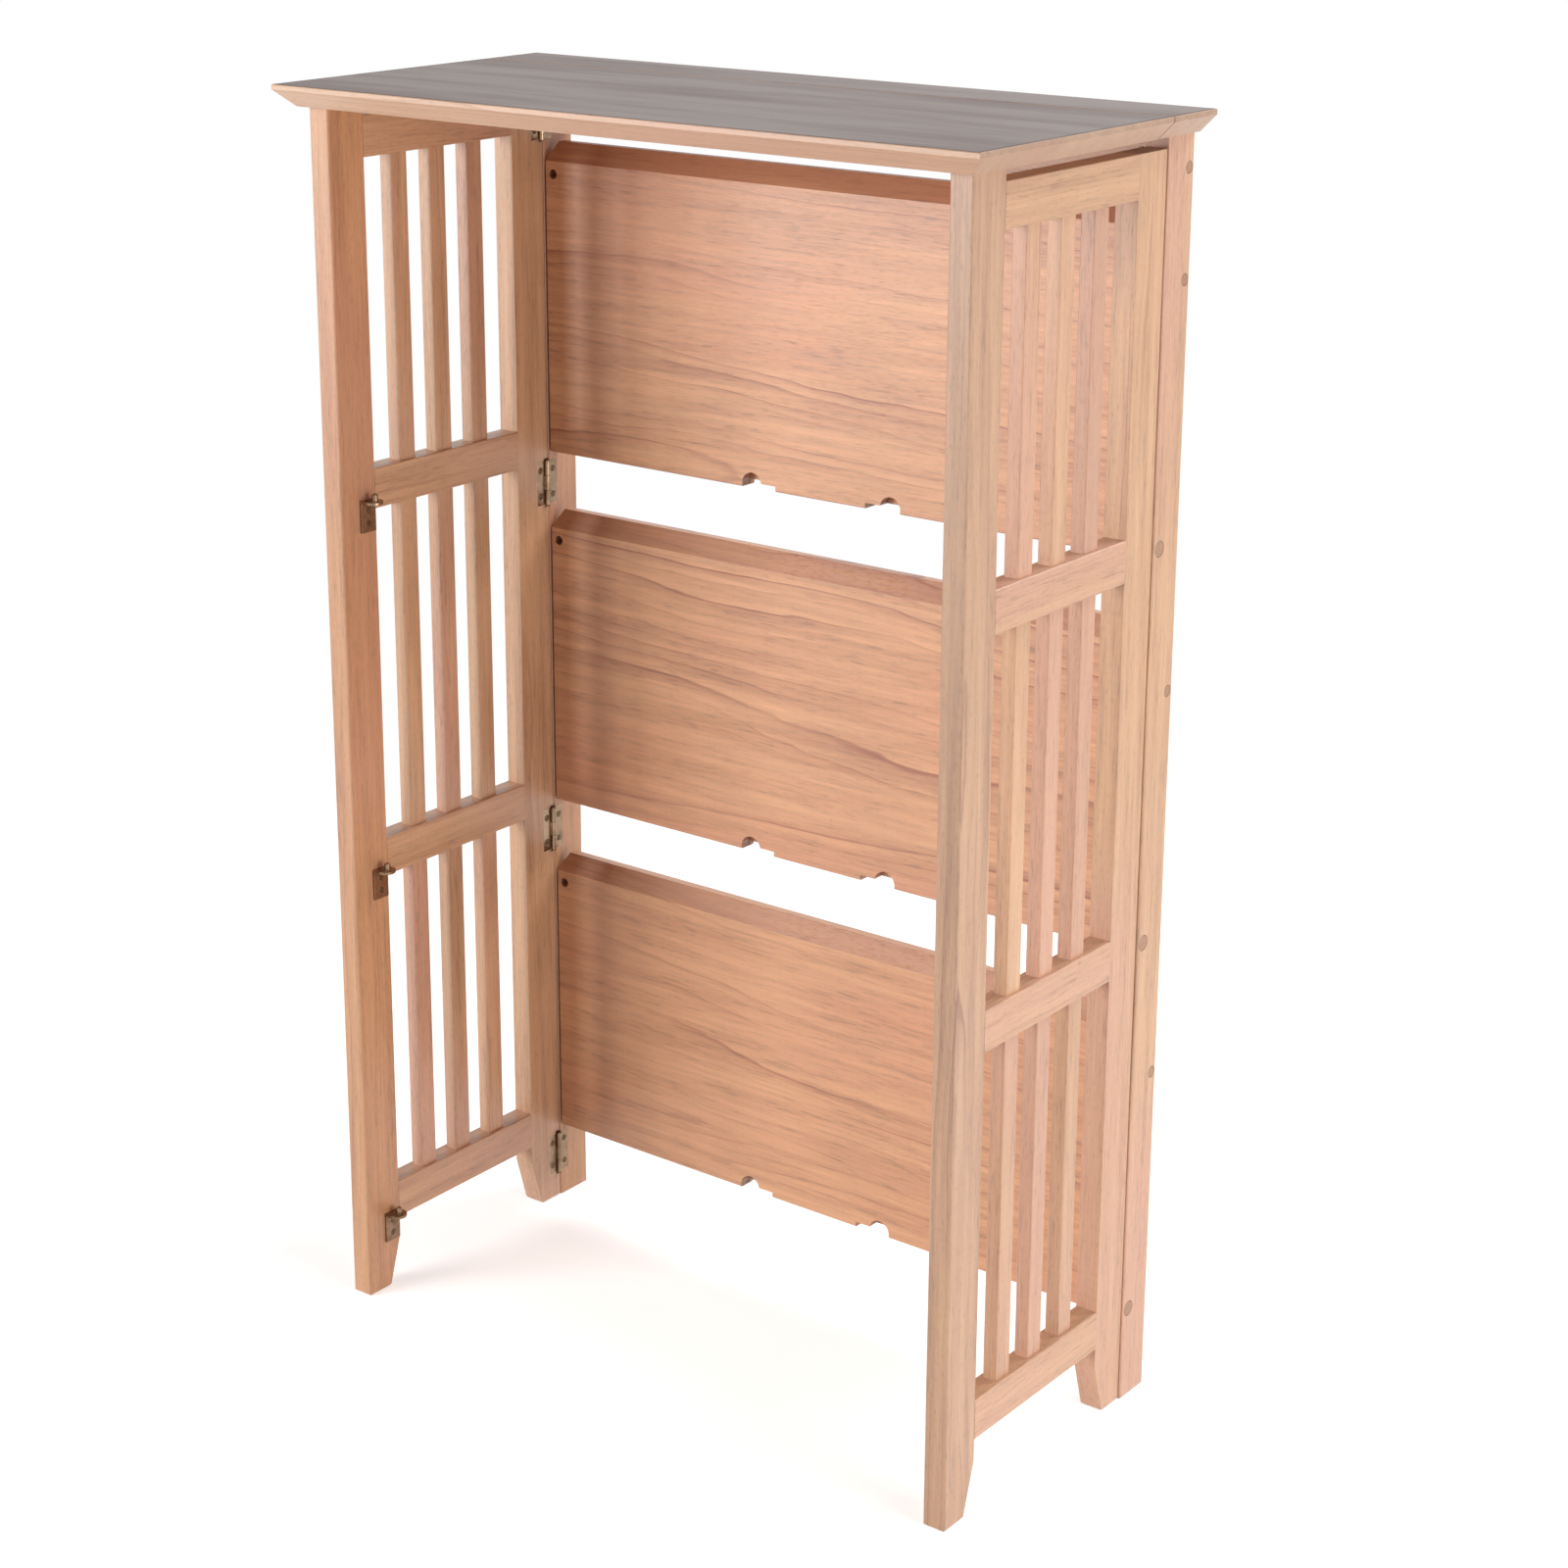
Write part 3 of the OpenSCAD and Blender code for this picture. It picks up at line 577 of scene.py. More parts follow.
@dataclass
class WoodShop:
    """Makes a wooden material for each piece and puts it on."""

    effects: Effects

    def coat(self, name: str, finish: WoodFinish, cut: Cut, piece: Object | None = None) -> None:
        """Makes the material of one piece and assigns it.

        Args:
            name: the piece's name, which also seeds its trunk.
            finish: the wood and its lacquer.
            cut: how the piece was cut.
            piece: a new piece, or None for the CAD node of that name.
        """
        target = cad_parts[name] if piece is None else piece
        material, b, shader = blank_material(f"{finish.name}_{name}")
        timber = self._timber(b, name, finish, cut, target)
        edges = self.effects.edges.place(b, finish).outputs
        colour, dull, coat = self._surface(b, finish, timber)
        # Edges lighter by edge_tone: a painted highlight on the arrises; the plugs' negative tone
        # darkens their rims
        wear_and_edge_highlight = b.plus(b.times(edges["Edge"], finish.edge_tone), 1.0)
        b.fill(shader, {
            "Base Color": b.scaled(colour, wear_and_edge_highlight),
            "Roughness": b.plus(dull, finish.roughness, clamp=True),
            "Normal": b.bump(timber["Height"], finish.bump, edges["Normal"]),
            "Specular IOR Level": finish.specular,
            "Coat Weight": coat,
            "Coat Roughness": finish.coat_roughness,
        })
        dress(target, material)
        log.info("wood %s on %s", finish.name, name)

    def _timber(self, b: NodeBench, name: str, finish: WoodFinish, cut: Cut,
                target: Object) -> Sockets:
        """Saws the piece from a trunk of its own.

        Args:
            b: the material's bench.
            name: the piece's name, the seed of its trunk.
            finish: the wood's finish.
            cut: how the piece was cut.
            target: the piece.

        Returns:
            What the timber group puts out.
        """
        low, high = mesh_box(target)
        middle = cut.grain.turned((low + high) / 2)
        draw = random.Random(name)
        trunk = Vector((draw.uniform(*cut.trunk_range), cut.pith[0] * draw.choice((-1, 1)),
                        cut.pith[1] * draw.uniform(*cut.depth_range)))
        sawn = b.mapped(b.here["Object"], cut.grain.value,
                        trunk - Vector((0.0, middle.y, middle.z)))
        along, _, _ = b.split(b.mapped(b.here["Normal"], cut.grain.value))
        end = b.ramp(b.math("ABSOLUTE", along), *finish.end_grain)
        stick: object = 0.0
        if cut.stick_pitch:
            _, across, _ = b.split(sawn)
            count = b.math("DIVIDE", b.minus(across, trunk.y), cut.stick_pitch)
            stick = b.plus(b.math("ROUND", count), draw.uniform(*cut.stick_range))
        return self.effects.timber.place(b, finish, vector=sawn, stick=stick, end=end).outputs

    def _surface(self, b: NodeBench, finish: WoodFinish, timber: Sockets) -> Looks:
        """Plain wood, whose slanting faces may be darker, a painted shade, and bare.

        Args:
            b: the material's bench.
            finish: the wood's finish.
            timber: what the timber group puts out.

        Returns:
            The colour, the added roughness and the weight of the lacquer.
        """
        colour, dull = timber["Color"], timber["Dullness"]
        if not finish.slant:
            return colour, dull, finish.coat
        x, y, z = b.split(b.vector("ABSOLUTE", {0: b.here["Normal"]}).outputs[0])
        level = b.math("MAXIMUM", b.math("MAXIMUM", x, y), z)
        # Painted shade: the slanting faces go towards the late wood, and the next line takes their
        # lacquer away
        colour = b.mix(b.ramp(level, *finish.square, 0.0, finish.slant), colour, finish.late)
        return colour, dull, b.ramp(level, *reversed(finish.square), 0.0, finish.coat)


@dataclass(frozen=True)
class StainedFace:
    """The grey-brown face of the top, above rims and bevels of bare wood; its grey is a painted
    reflection of the white surroundings and its darkness painted shade.
    """

    light: Colour
    dark: Colour
    line: Colour
    face_z: float
    half_w: float
    front_y: float
    seam_y: float = 0.0919
    seam_w: float = 0.0026
    # Share of the seam's width in which its line is full
    seam_core: float = 0.3
    # The dark line round the face: its place in from the rim, its width and its strength
    line_in: float = 0.0016
    line_w: float = 0.0012
    line_weight: float = 0.75
    # In widths of the line: how far in from its place it ends, and how far out from there the
    # painted grey starts and is full
    line_end: float = 2.2
    stain_edge: Pair = (1.1, 0.5)
    # Depths below the face where the painted grey starts and is full
    stain_depth: Pair = (0.0012, 0.0006)
    ragged: Noise = Noise((60.0, 60.0, 60.0), 2.0)
    ragged_by: float = 0.0009
    smear: Noise = Noise((3.2, 26.0, 26.0), 3.0, 0.55)
    smear_ramp: Ramp = (0.32, 0.72)
    streak: Noise = Noise((9.0, 190.0, 190.0), 2.0)
    streak_weight: float = 0.5
    dullness: float = 0.12
    # How far a face looks up where it starts to be, and is, painted grey or without lacquer
    stained_up: Ramp = (0.75, 0.92)
    bare_up: Ramp = (0.2, 0.5)


@dataclass
class TopShop(WoodShop):
    """Finishes the boards of the top, whose upper face is painted grey-brown: painted reflection
    over painted shade.
    """

    face: StainedFace

    def _surface(self, b: NodeBench, finish: WoodFinish, timber: Sockets) -> Looks:
        """Bare wood with the duller face over it, whose grey-brown is painted reflection and
        painted shade.

        Args:
            b: the material's bench.
            finish: the wood's finish.
            timber: what the timber group puts out.

        Returns:
            The colour, the added roughness and the weight of the lacquer.
        """
        face = self.face
        point = b.here["Object"]
        x, y, z = b.split(point)
        _, _, up = b.split(b.here["Normal"])
        smear = b.ramp(b.noise(point, face.smear), *face.smear_ramp)
        streak = b.swing(b.noise(point, face.streak), face.streak_weight)
        # Painted reflection and painted shade: grey-brown tones for the white surroundings
        # mirrored at a low angle and the little light from above
        painted_grey = b.mix(b.plus(smear, streak, clamp=True), face.light, face.dark)
        inset = b.math("MINIMUM", b.minus(face.half_w, b.math("ABSOLUTE", x)),
                       b.minus(y, face.front_y))
        inset = b.plus(inset, b.swing(b.noise(point, face.ragged), face.ragged_by))
        start, width = face.line_in, face.line_w
        line = b.times(b.ramp(inset, start - width, start),
                       b.ramp(inset, start + width * face.line_end, start + width))
        seam = b.math("ABSOLUTE", b.minus(y, face.seam_y))
        seam = b.ramp(seam, face.seam_w, face.seam_w * face.seam_core)
        line = b.times(b.math("MAXIMUM", line, seam), face.line_weight)
        painted_grey = b.mix(line, painted_grey, face.line)
        on_top = b.times(
            b.ramp(up, *face.stained_up),
            b.ramp(inset, *(start - width * share for share in face.stain_edge)),
            b.ramp(z, *(face.face_z - depth for depth in face.stain_depth)))
        colour = b.mix(on_top, timber["Color"], painted_grey)
        dull = b.plus(timber["Dullness"], b.times(on_top, face.dullness))
        return colour, dull, b.ramp(up, *face.bare_up, finish.coat, 0.0)


@dataclass(frozen=True)
class MetalFinish:
    """Plated metal: its colours, clouds and wear."""

    name: str
    base: Colour
    cloud: Colour
    worn: Colour
    cloud_size: float = 0.004
    wear: float = 0.6
    scratch_wear: float = 0.35
    roughness: float = 0.38
    # How much duller the clouds are, and how much shinier the worn places
    cloud_dull: float = 0.16
    worn_shine: float = 0.12
    edge_radius: float = 0.0003
    bump: float = 0.00005

    def made(self, effects: Effects) -> Material:
        """Makes the material.

        Args:
            effects: the shared node groups.

        Returns:
            The material.
        """
        material, b, shader = blank_material(self.name)
        patina = effects.patina.place(b, self, vector=b.here["Object"]).outputs
        edges = effects.edges.place(b, self).outputs
        colour = b.mix(patina["Clouds"], self.base, self.cloud)
        wear_and_edge_highlight = b.plus(edges["Edge"], b.times(patina["Scratches"], self.scratch_wear), clamp=True)
        wear_and_edge_highlight = b.times(wear_and_edge_highlight, self.wear)
        rough = b.plus(b.times(patina["Clouds"], self.cloud_dull), self.roughness)
        b.fill(shader, {
            "Base Color": b.mix(wear_and_edge_highlight, colour, self.worn),
            "Metallic": 1.0,
            "Roughness": b.minus(rough, b.times(wear_and_edge_highlight, self.worn_shine)),
            "Normal": b.bump(patina["Height"], self.bump, edges["Normal"]),
        })
        return material


FRAME_WOOD = WoodFinish(
    "frame_wood", early=srgb(205, 160, 121), late=srgb(146, 90, 59),
    blush=srgb(200, 148, 123), band_strength=1.1, fibre_strength=0.22, dash_strength=0.22,
    pore_strength=0.18)
# A darker, more orange copy of the frame wood for the left posts: painted shade of the rack's
# inside
SHADED_FRAME_WOOD = replace(
    FRAME_WOOD, name="orange_frame_wood", early=srgb(204, 150, 106), late=srgb(142, 84, 52),
    blush=srgb(196, 138, 106))
# A darker, greyer copy of the frame wood for the right front post: painted shade
DIMMED_FRAME_WOOD = replace(
    FRAME_WOOD, name="grey_frame_wood", early=srgb(192, 149, 115), late=srgb(132, 84, 60),
    blush=srgb(182, 137, 117))
# The shelves' slanting bevels are darkened towards the late wood as painted shade.
SHELF_WOOD = WoodFinish(
    "shelf_wood", early=srgb(218, 160, 116), late=srgb(150, 82, 48),
    blush=srgb(208, 142, 105), ring_gap=0.011, ring_drift=0.045, waver=0.05,
    ring_strength=0.8, band_strength=1.1, fibre_strength=0.3, dash_strength=0.26,
    tone_spread=0.03, specular=0.7, coat=1.0, slant=0.5)
TOP_WOOD = WoodFinish(
    "top_wood", early=srgb(217, 177, 146), late=srgb(172, 120, 88),
    blush=srgb(206, 158, 132), ring_gap=0.006, specular=0.35)
PLUG_WOOD = WoodFinish(
    "plug_wood", early=srgb(206, 154, 112), late=srgb(150, 96, 62),
    blush=srgb(190, 132, 94), ring_gap=0.0016, waver=0.001, ring_strength=0.8,
    edge_radius=0.0013, edge_tone=-0.6)
BRONZE = MetalFinish(
    "antique_bronze", base=srgb(162, 136, 112), cloud=srgb(132, 108, 86),
    worn=srgb(216, 194, 166), cloud_size=0.016, roughness=0.16)
BRACKET_BRONZE = MetalFinish(
    "bracket_bronze", base=srgb(150, 124, 102), cloud=srgb(122, 98, 78),
    worn=srgb(208, 184, 154), cloud_size=0.012, roughness=0.24)
# A darker bronze for the hinge pins and the cross screws: painted shade of their barrels and
# recesses
SHADED_BRONZE = MetalFinish(
    "dark_bronze", base=srgb(112, 88, 66), cloud=srgb(84, 64, 48),
    worn=srgb(176, 148, 116), cloud_size=0.003, roughness=0.3)
STEEL = MetalFinish(
    "zinc_steel", base=srgb(186, 186, 190), cloud=srgb(150, 151, 156),
    worn=srgb(222, 222, 224), cloud_size=0.002, wear=0.4, roughness=0.3)

# Where the trunk's middle lies from the middle of a dowel, a plug and a board of the top
DOWEL_PITH: Pair = (0.004, 0.006)
PLUG_PITH: Pair = (0.01, 0.012)
TOP_PITH: Pair = (0.03, 0.05)


# ---- Meshes ----


def mesh_box(piece: Object) -> tuple[Vector, Vector]:
    """The lowest and highest corners of a piece's own mesh, in metres."""
    sides = list(zip(*piece.bound_box))
    return Vector([min(side) for side in sides]), Vector([max(side) for side in sides])


def dress(piece: Object, material: Material) -> None:
    """Puts a material in every slot of a piece, or in its first where it has none.

    Args:
        piece: the piece.
        material: the material.
    """
    if not piece.material_slots:
        piece.data.materials.append(material)
    else:
        for slot in piece.material_slots:
            slot.link = "OBJECT"
            slot.material = material


def settled(name: str, bm: BMesh) -> Mesh:
    """Turns a mesh in the making into a mesh.

    Args:
        name: the mesh's name.
        bm: the mesh in the making, which is freed.

    Returns:
        The mesh.
    """
    mesh = bpy.data.meshes.new(name)
    bm.to_mesh(mesh)
    bm.free()
    return mesh


def added(name: str, data: bpy.types.ID) -> Object:
    """Adds an object to the scene.

    Args:
        name: its name.
        data: its mesh, lamp or camera.

    Returns:
        The object, at the origin.
    """
    item = bpy.data.objects.new(name, data)
    bpy.context.scene.collection.objects.link(item)
    return item


def in_side(hand: Hand, x: float, y: float, z: float) -> Matrix:
    """A place x out from the rack's middle on one side, with +Z turned outwards."""
    outwards = Matrix.Rotation(hand.value * math.pi / 2, 4, "Y")
    return Matrix.Translation((hand.value * x, y, z)) @ outwards


def copies(name: str, pattern: Mesh, places: Sequence[Matrix], body: str,
           node: str) -> Object:
    """Makes a piece of copies of a pattern, each spun about its own Z by chance.

    Args:
        name: the piece's name, which also seeds the spins.
        pattern: the shape, which is removed afterwards.
        places: where the copies go.
        body: the CAD body that carries the piece.
        node: the CAD node that it stands for.

    Returns:
        The piece.
    """
    bm = bmesh.new()
    draw = random.Random(name)
    for place in places:
        before = len(bm.verts)
        bm.from_mesh(pattern)
        bm.verts.ensure_lookup_table()
        spin = Matrix.Rotation(draw.uniform(0, math.tau), 4, "Z")
        bmesh.ops.transform(bm, matrix=place @ spin, verts=bm.verts[before:])
    bpy.data.meshes.remove(pattern)
    bmesh.ops.recalc_face_normals(bm, faces=bm.faces)
    piece = added(name, settled(name, bm))
    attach(piece, body)
    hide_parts(node)
    log.info("made %s on %s", name, body)
    return piece


@dataclass(frozen=True)
class CrossScrew:
    """A countersunk wood screw with a cross recess; its head faces down and it runs up Z."""

    head_r: float = 3.0 * MM
    head_h: float = 1.2 * MM
    shank_r: float = 1.6 * MM
    length: float = 13.0 * MM
    point_h: float = 3.0 * MM
    # What the shank narrows to before its point, and the recess at its floor
    shank_taper: float = 0.86
    recess_taper: float = 0.62
    recess_deep: float = 0.9 * MM
    # The head is made from an even grid, whose lines then go to these shares of its radius
    cells: int = 5
    lines: tuple[float, ...] = (0.15, 0.56, 1.0)

    def cells_out(self, place: float) -> float:
        """How many cells a place on the even grid, from -1 to 1, lies from its middle."""
        return abs(place) * self.cells / 2

    def head_point(self, x: float, y: float) -> Point:
        """Moves a point of an even grid on to the lines, and the square on to a disc.

        Args:
            x: grid place from -1 to 1.
            y: grid place from -1 to 1.

        Returns:
            The point on the head.
        """
        u, v = (math.copysign(self.lines[int(self.cells_out(c))], c) for c in (x, y))
        round_u = u * math.sqrt(1 - v * v / 2)
        round_v = v * math.sqrt(1 - u * u / 2)
        return (round_u * self.head_r, round_v * self.head_r, 0.0)

    def in_cross(self, face: BMFace) -> bool:
        """Whether a face of the even grid is its middle cell or shares a side with it."""
        near, far = sorted(self.cells_out(c) for c in face.calc_center_median().xy)
        return near < 0.5 and far < 1.5

    def pattern(self) -> Mesh:
        """Makes the screw.

        Returns:
            A closed mesh at the origin.
        """
        bm = bmesh.new()
        bmesh.ops.create_grid(bm, x_segments=self.cells, y_segments=self.cells, size=1.0)
        cross = [face for face in bm.faces if self.in_cross(face)]
        for vert in bm.verts:
            vert.co = self.head_point(vert.co.x, vert.co.y)
        rim = [e for e in bm.edges if e.is_boundary]
        sunk = bmesh.ops.extrude_face_region(bm, geom=cross)["geom"]
        floor = [g for g in sunk if isinstance(g, BMVert)]
        self._narrowed(bm, floor, self.recess_taper, self.recess_deep)
        steps = ((self.shank_r / self.head_r, self.head_h),
                 (self.shank_taper, self.length - self.head_h - self.point_h))
        for shrink, rise in steps:
            rim, ring = self._drawn(bm, rim)
            self._narrowed(bm, ring, shrink, rise)
        rim, ring = self._drawn(bm, rim)
        bmesh.ops.pointmerge(bm, verts=ring, merge_co=(0.0, 0.0, self.length))
        bmesh.ops.recalc_face_normals(bm, faces=bm.faces)
        return settled("cross_screw_pattern", bm)

    def _narrowed(self, bm: BMesh, verts: list[BMVert], shrink: float, rise: float) -> None:
        """Shrinks points towards the axis of Z and raises them."""
        bmesh.ops.scale(bm, vec=(shrink, shrink, 1.0), verts=verts)
        bmesh.ops.translate(bm, vec=(0.0, 0.0, rise), verts=verts)

    def _drawn(self, bm: BMesh, rim: list[BMEdge]) -> tuple[list[BMEdge], list[BMVert]]:
        """Draws a loop of edges out into a new wall and returns its new edges and points."""
        grown = bmesh.ops.extrude_edge_only(bm, edges=rim)["geom"]
        return ([g for g in grown if isinstance(g, BMEdge)],
                [g for g in grown if isinstance(g, BMVert)])


@dataclass(frozen=True)
class WoodPlug:
    """A turned plug with an eased rim; its face looks up Z and lies at the origin."""

    radius: float
    length: float
    rim: float = 0.45 * MM
    sunk: float = 0.12 * MM
    # Points of the slightly domed face, as shares of the radius and of the sunk depth
    dome: tuple[Pair, ...] = ((0.0, 0.4), (0.6, 0.55))
    steps: int = 40
    weld: float = 1e-6

    def pattern(self) -> Mesh:
        """Turns the plug's outline round Z.

        Returns:
            A closed mesh.
        """
        outline = [(self.radius * out, -self.sunk * down) for out, down in self.dome]
        outline += [(self.radius - self.rim, -self.sunk), (self.radius, -self.sunk - self.rim),
                    (self.radius, -self.length), (0.0, -self.length)]
        bm = bmesh.new()
        verts = [bm.verts.new((r, 0.0, z)) for r, z in outline]
        edges = [bm.edges.new(pair) for pair in zip(verts, verts[1:])]
        bmesh.ops.spin(bm, geom=verts + edges, cent=(0, 0, 0), axis=(0, 0, 1),
                       angle=math.tau, steps=self.steps, use_merge=True)
        bmesh.ops.remove_doubles(bm, verts=bm.verts, dist=self.weld)
        bmesh.ops.recalc_face_normals(bm, faces=bm.faces)
        return settled("wood_plug_pattern", bm)


# ---- The rack's sub-assemblies ----


@dataclass
class Levels:
    """Heights and faces that several sub-assemblies share, as the CAD has them."""

    post_in: float = 284.0 * MM
    post_out: float = 304.0 * MM
    shelf_zs: tuple[float, ...] = (69.5 * MM, 379.5 * MM, 689.5 * MM)
    hinge_zs: tuple[float, ...] = (24 * MM, 334 * MM, 644 * MM, 951 * MM)
    hinge_h: float = 38.0 * MM
    hinge_screw_dz: float = 11.0 * MM
    top_under: float = 999.0 * MM


@dataclass
class BackFrame:
    """Back posts, back rails and the wood plugs over their screws."""

    shop: WoodShop
    levels: Levels
    rail_screw_y: float = 144.5 * MM
    pivot_y: float = 124.0 * MM
    pivot_up: float = 7.5 * MM
    # From a shelf's lower edge up to the screws of the rail behind it
    rail_up: float = 203.5 * MM
    top_screw_z: float = 974.0 * MM
    rail_plug: WoodPlug = WoodPlug(4.75 * MM, 5.0 * MM)
    pivot_plug: WoodPlug = WoodPlug(6.35 * MM, 4.5 * MM)

    def build(self) -> None:
        """Makes the plugs and finishes the wood."""
        rail_zs = [z + self.rail_up for z in self.levels.shelf_zs] + [self.top_screw_z]
        pivot_zs = [z + self.pivot_up for z in self.levels.shelf_zs]
        rail_set = ("turned_rail_plugs", "rail_screw_plugs", self.rail_plug, self.rail_screw_y)
        pivot_set = ("turned_pivot_plugs", "pivot_plugs", self.pivot_plug, self.pivot_y)
        for (name, node, plug, y), zs in ((rail_set, rail_zs), (pivot_set, pivot_zs)):
            places = [in_side(hand, self.levels.post_out, y, z) for hand in Hand for z in zs]
            piece = copies(name, plug.pattern(), places, "back_frame", node)
            self.shop.coat(name, PLUG_WOOD, Cut(Grain.ALONG_X, PLUG_PITH), piece)
        for hand in Hand:
            # The left back post takes the darker copy of the frame wood, a painted shade
            wood = SHADED_FRAME_WOOD if hand is Hand.LEFT else FRAME_WOOD
            self.shop.coat(f"back_post_{hand.word}", wood, Cut(Grain.ALONG_Z))
        for place in ("top", "upper", "middle", "lower"):
            self.shop.coat(f"back_rail_{place}", FRAME_WOOD, Cut(Grain.ALONG_X))
        self.shop.coat("back_rail_dowels", PLUG_WOOD, Cut(Grain.ALONG_X, DOWEL_PITH))


@dataclass
class SideFrame:
    """One slatted side: posts, rails, slats and dowels."""

    shop: WoodShop
    hand: Hand
    slat_pitch: float = 43.0 * MM

    def build(self) -> None:
        """Finishes the wood of the side."""
        word = self.hand.word
        # The left front post takes a darker orange copy of the frame wood, the right a darker grey
        # one: both painted shade
        front_wood = SHADED_FRAME_WOOD if self.hand is Hand.LEFT else DIMMED_FRAME_WOOD
        for post, finish in (("front", front_wood), ("rear", FRAME_WOOD)):
            self.shop.coat(f"{word}_{post}_post", finish, Cut(Grain.ALONG_Z))
        for rail in ("top", "upper", "lower", "bottom"):
            self.shop.coat(f"{word}_{rail}_rail", FRAME_WOOD, Cut(Grain.ALONG_Y))
        for bay in ("top", "middle", "bottom"):
            self.shop.coat(f"{word}_{bay}_slats", FRAME_WOOD,
                           Cut(Grain.ALONG_Z, stick_pitch=self.slat_pitch))
        self.shop.coat(f"{word}_side_dowels", PLUG_WOOD, Cut(Grain.ALONG_Y, DOWEL_PITH))


@dataclass
class Shelves:
    """The three boards that tip up, each with its pith and the strength of its rings."""

    shop: WoodShop
    boards: tuple[tuple[str, Pair, float], ...] = (
        ("upper", (0.005, 0.1), 1.3), ("middle", (0.06, 0.07), 0.9), ("lower", (0.02, 0.09), 0.6))

    def build(self) -> None:
        """Finishes the boards, each cut from its own trunk."""
        for place, pith, strength in self.boards:
            wood = replace(SHELF_WOOD, ring_strength=strength)
            self.shop.coat(f"{place}_shelf", wood, Cut(Grain.ALONG_X, pith))


@dataclass
class TopBoards:
    """The fixed rear strip and the hinged front leaf of the top."""

    shop: TopShop

    def build(self) -> None:
        """Finishes both boards and the dowels under the strip."""
        for node in ("top_rear_strip", "top_front_leaf"):
            self.shop.coat(node, TOP_WOOD, Cut(Grain.ALONG_X, TOP_PITH))
        self.shop.coat("top_strip_dowels", PLUG_WOOD, Cut(Grain.ALONG_Z, DOWEL_PITH))


@dataclass
class Fittings:
    """Hinges, shelf brackets and the screws that hold them."""

    effects: Effects
    levels: Levels
    screw: CrossScrew = CrossScrew()
    top_screw: CrossScrew = CrossScrew(length=11.0 * MM)
    post_leaf_y: float = 121.0 * MM
    frame_leaf_y: float = 105.4 * MM
    bracket_y: float = -102.0 * MM
    bracket_t: float = 2.0 * MM
    bracket_gap: float = 0.25 * MM
    bracket_drops: tuple[float, ...] = (8.0 * MM, 19.0 * MM)
    top_hinge_xs: tuple[float, ...] = (-200.0 * MM, 0.0, 200.0 * MM)
    top_hinge_y: float = 91.9 * MM
    top_screw_dx: float = 12.0 * MM
    top_screw_dy: float = 9.4 * MM
    top_leaf_t: float = 1.2 * MM
    # The metal of a CAD node, by the first of these words that its name holds; the darker bronze
    # of the pins is painted shade
    metals: tuple[tuple[str, MetalFinish], ...] = (
        ("bracket", BRACKET_BRONZE), ("pins", SHADED_BRONZE), ("hinge", BRONZE), ("screws", STEEL))

    def build(self) -> None:
        """Makes the cross-headed screws and finishes all metal."""
        metals = {word: finish.made(self.effects) for word, finish in self.metals}
        # The cross screws take the pins' darker bronze, a painted shade of their recesses
        dark = metals["pins"]
        for name, node, body, screw, places in self._screw_sets():
            piece = copies(f"{name}_cross_screws", screw.pattern(), places, body,
                           f"{node}_screws")
            dress(piece, dark)
        for node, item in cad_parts.items():
            word = next((word for word in metals if word in node), None)
            if word and not item.hide_render:
                dress(item, metals[word])

    def _screw_sets(self) -> Iterator[tuple[str, str, str, CrossScrew, list[Matrix]]]:
        """Works out the sets of screws, whose heads lie on the leaves of the CAD.

        Yields:
            The starts of the names of a piece and of the CAD node that it stands for, the
            body that carries it, the screw, and the places of the heads.
        """
        levels, inside = self.levels, self.levels.post_in
        zs = [z + levels.hinge_h / 2 + way * levels.hinge_screw_dz
              for z in levels.hinge_zs for way in (-1, 1)]
        for hand in Hand:
            hinge, bracket, side = (f"{hand.word}_{end}" for end in ("hinge", "bracket", "side"))
            yield (hinge, hinge, side, self.screw,
                   [in_side(hand, inside, self.frame_leaf_y, z) for z in zs])
            yield (bracket, bracket, side, self.screw,
                   [in_side(hand, inside - self.bracket_t, self.bracket_y,
                            z - self.bracket_gap - drop)
                    for z in levels.shelf_zs for drop in self.bracket_drops])
        yield ("post_hinge", "post_hinge", "back_frame", self.screw,
               [in_side(hand, inside, self.post_leaf_y, z) for hand in Hand for z in zs])
        for way, body, board in ((1, "back_frame", "strip"), (-1, "top_leaf", "front")):
            y = self.top_hinge_y + way * self.top_screw_dy
            yield (f"top_{board}", f"top_hinge_{board}", body, self.top_screw,
                   [Matrix.Translation((x + dx, y, levels.top_under - self.top_leaf_t))
                    for x in self.top_hinge_xs
                    for dx in (-self.top_screw_dx, self.top_screw_dx)])


# ---- Studio ----


@dataclass(frozen=True)
class Lamp:
    """A soft square white lamp that is aimed at a point."""

    name: str
    place: Point
    power: float
    size: float
    aim: Point = (0.0, 0.0, 0.5)

    def hang(self) -> None:
        """Adds the lamp to the scene."""
        data = bpy.data.lights.new(self.name, "AREA")
        data.energy = self.power
        data.size = self.size
        lamp = added(self.name, data)
        lamp.location = self.place
        way = Vector(self.aim) - Vector(self.place)
        lamp.rotation_euler = way.to_track_quat("-Z", "Y").to_euler()


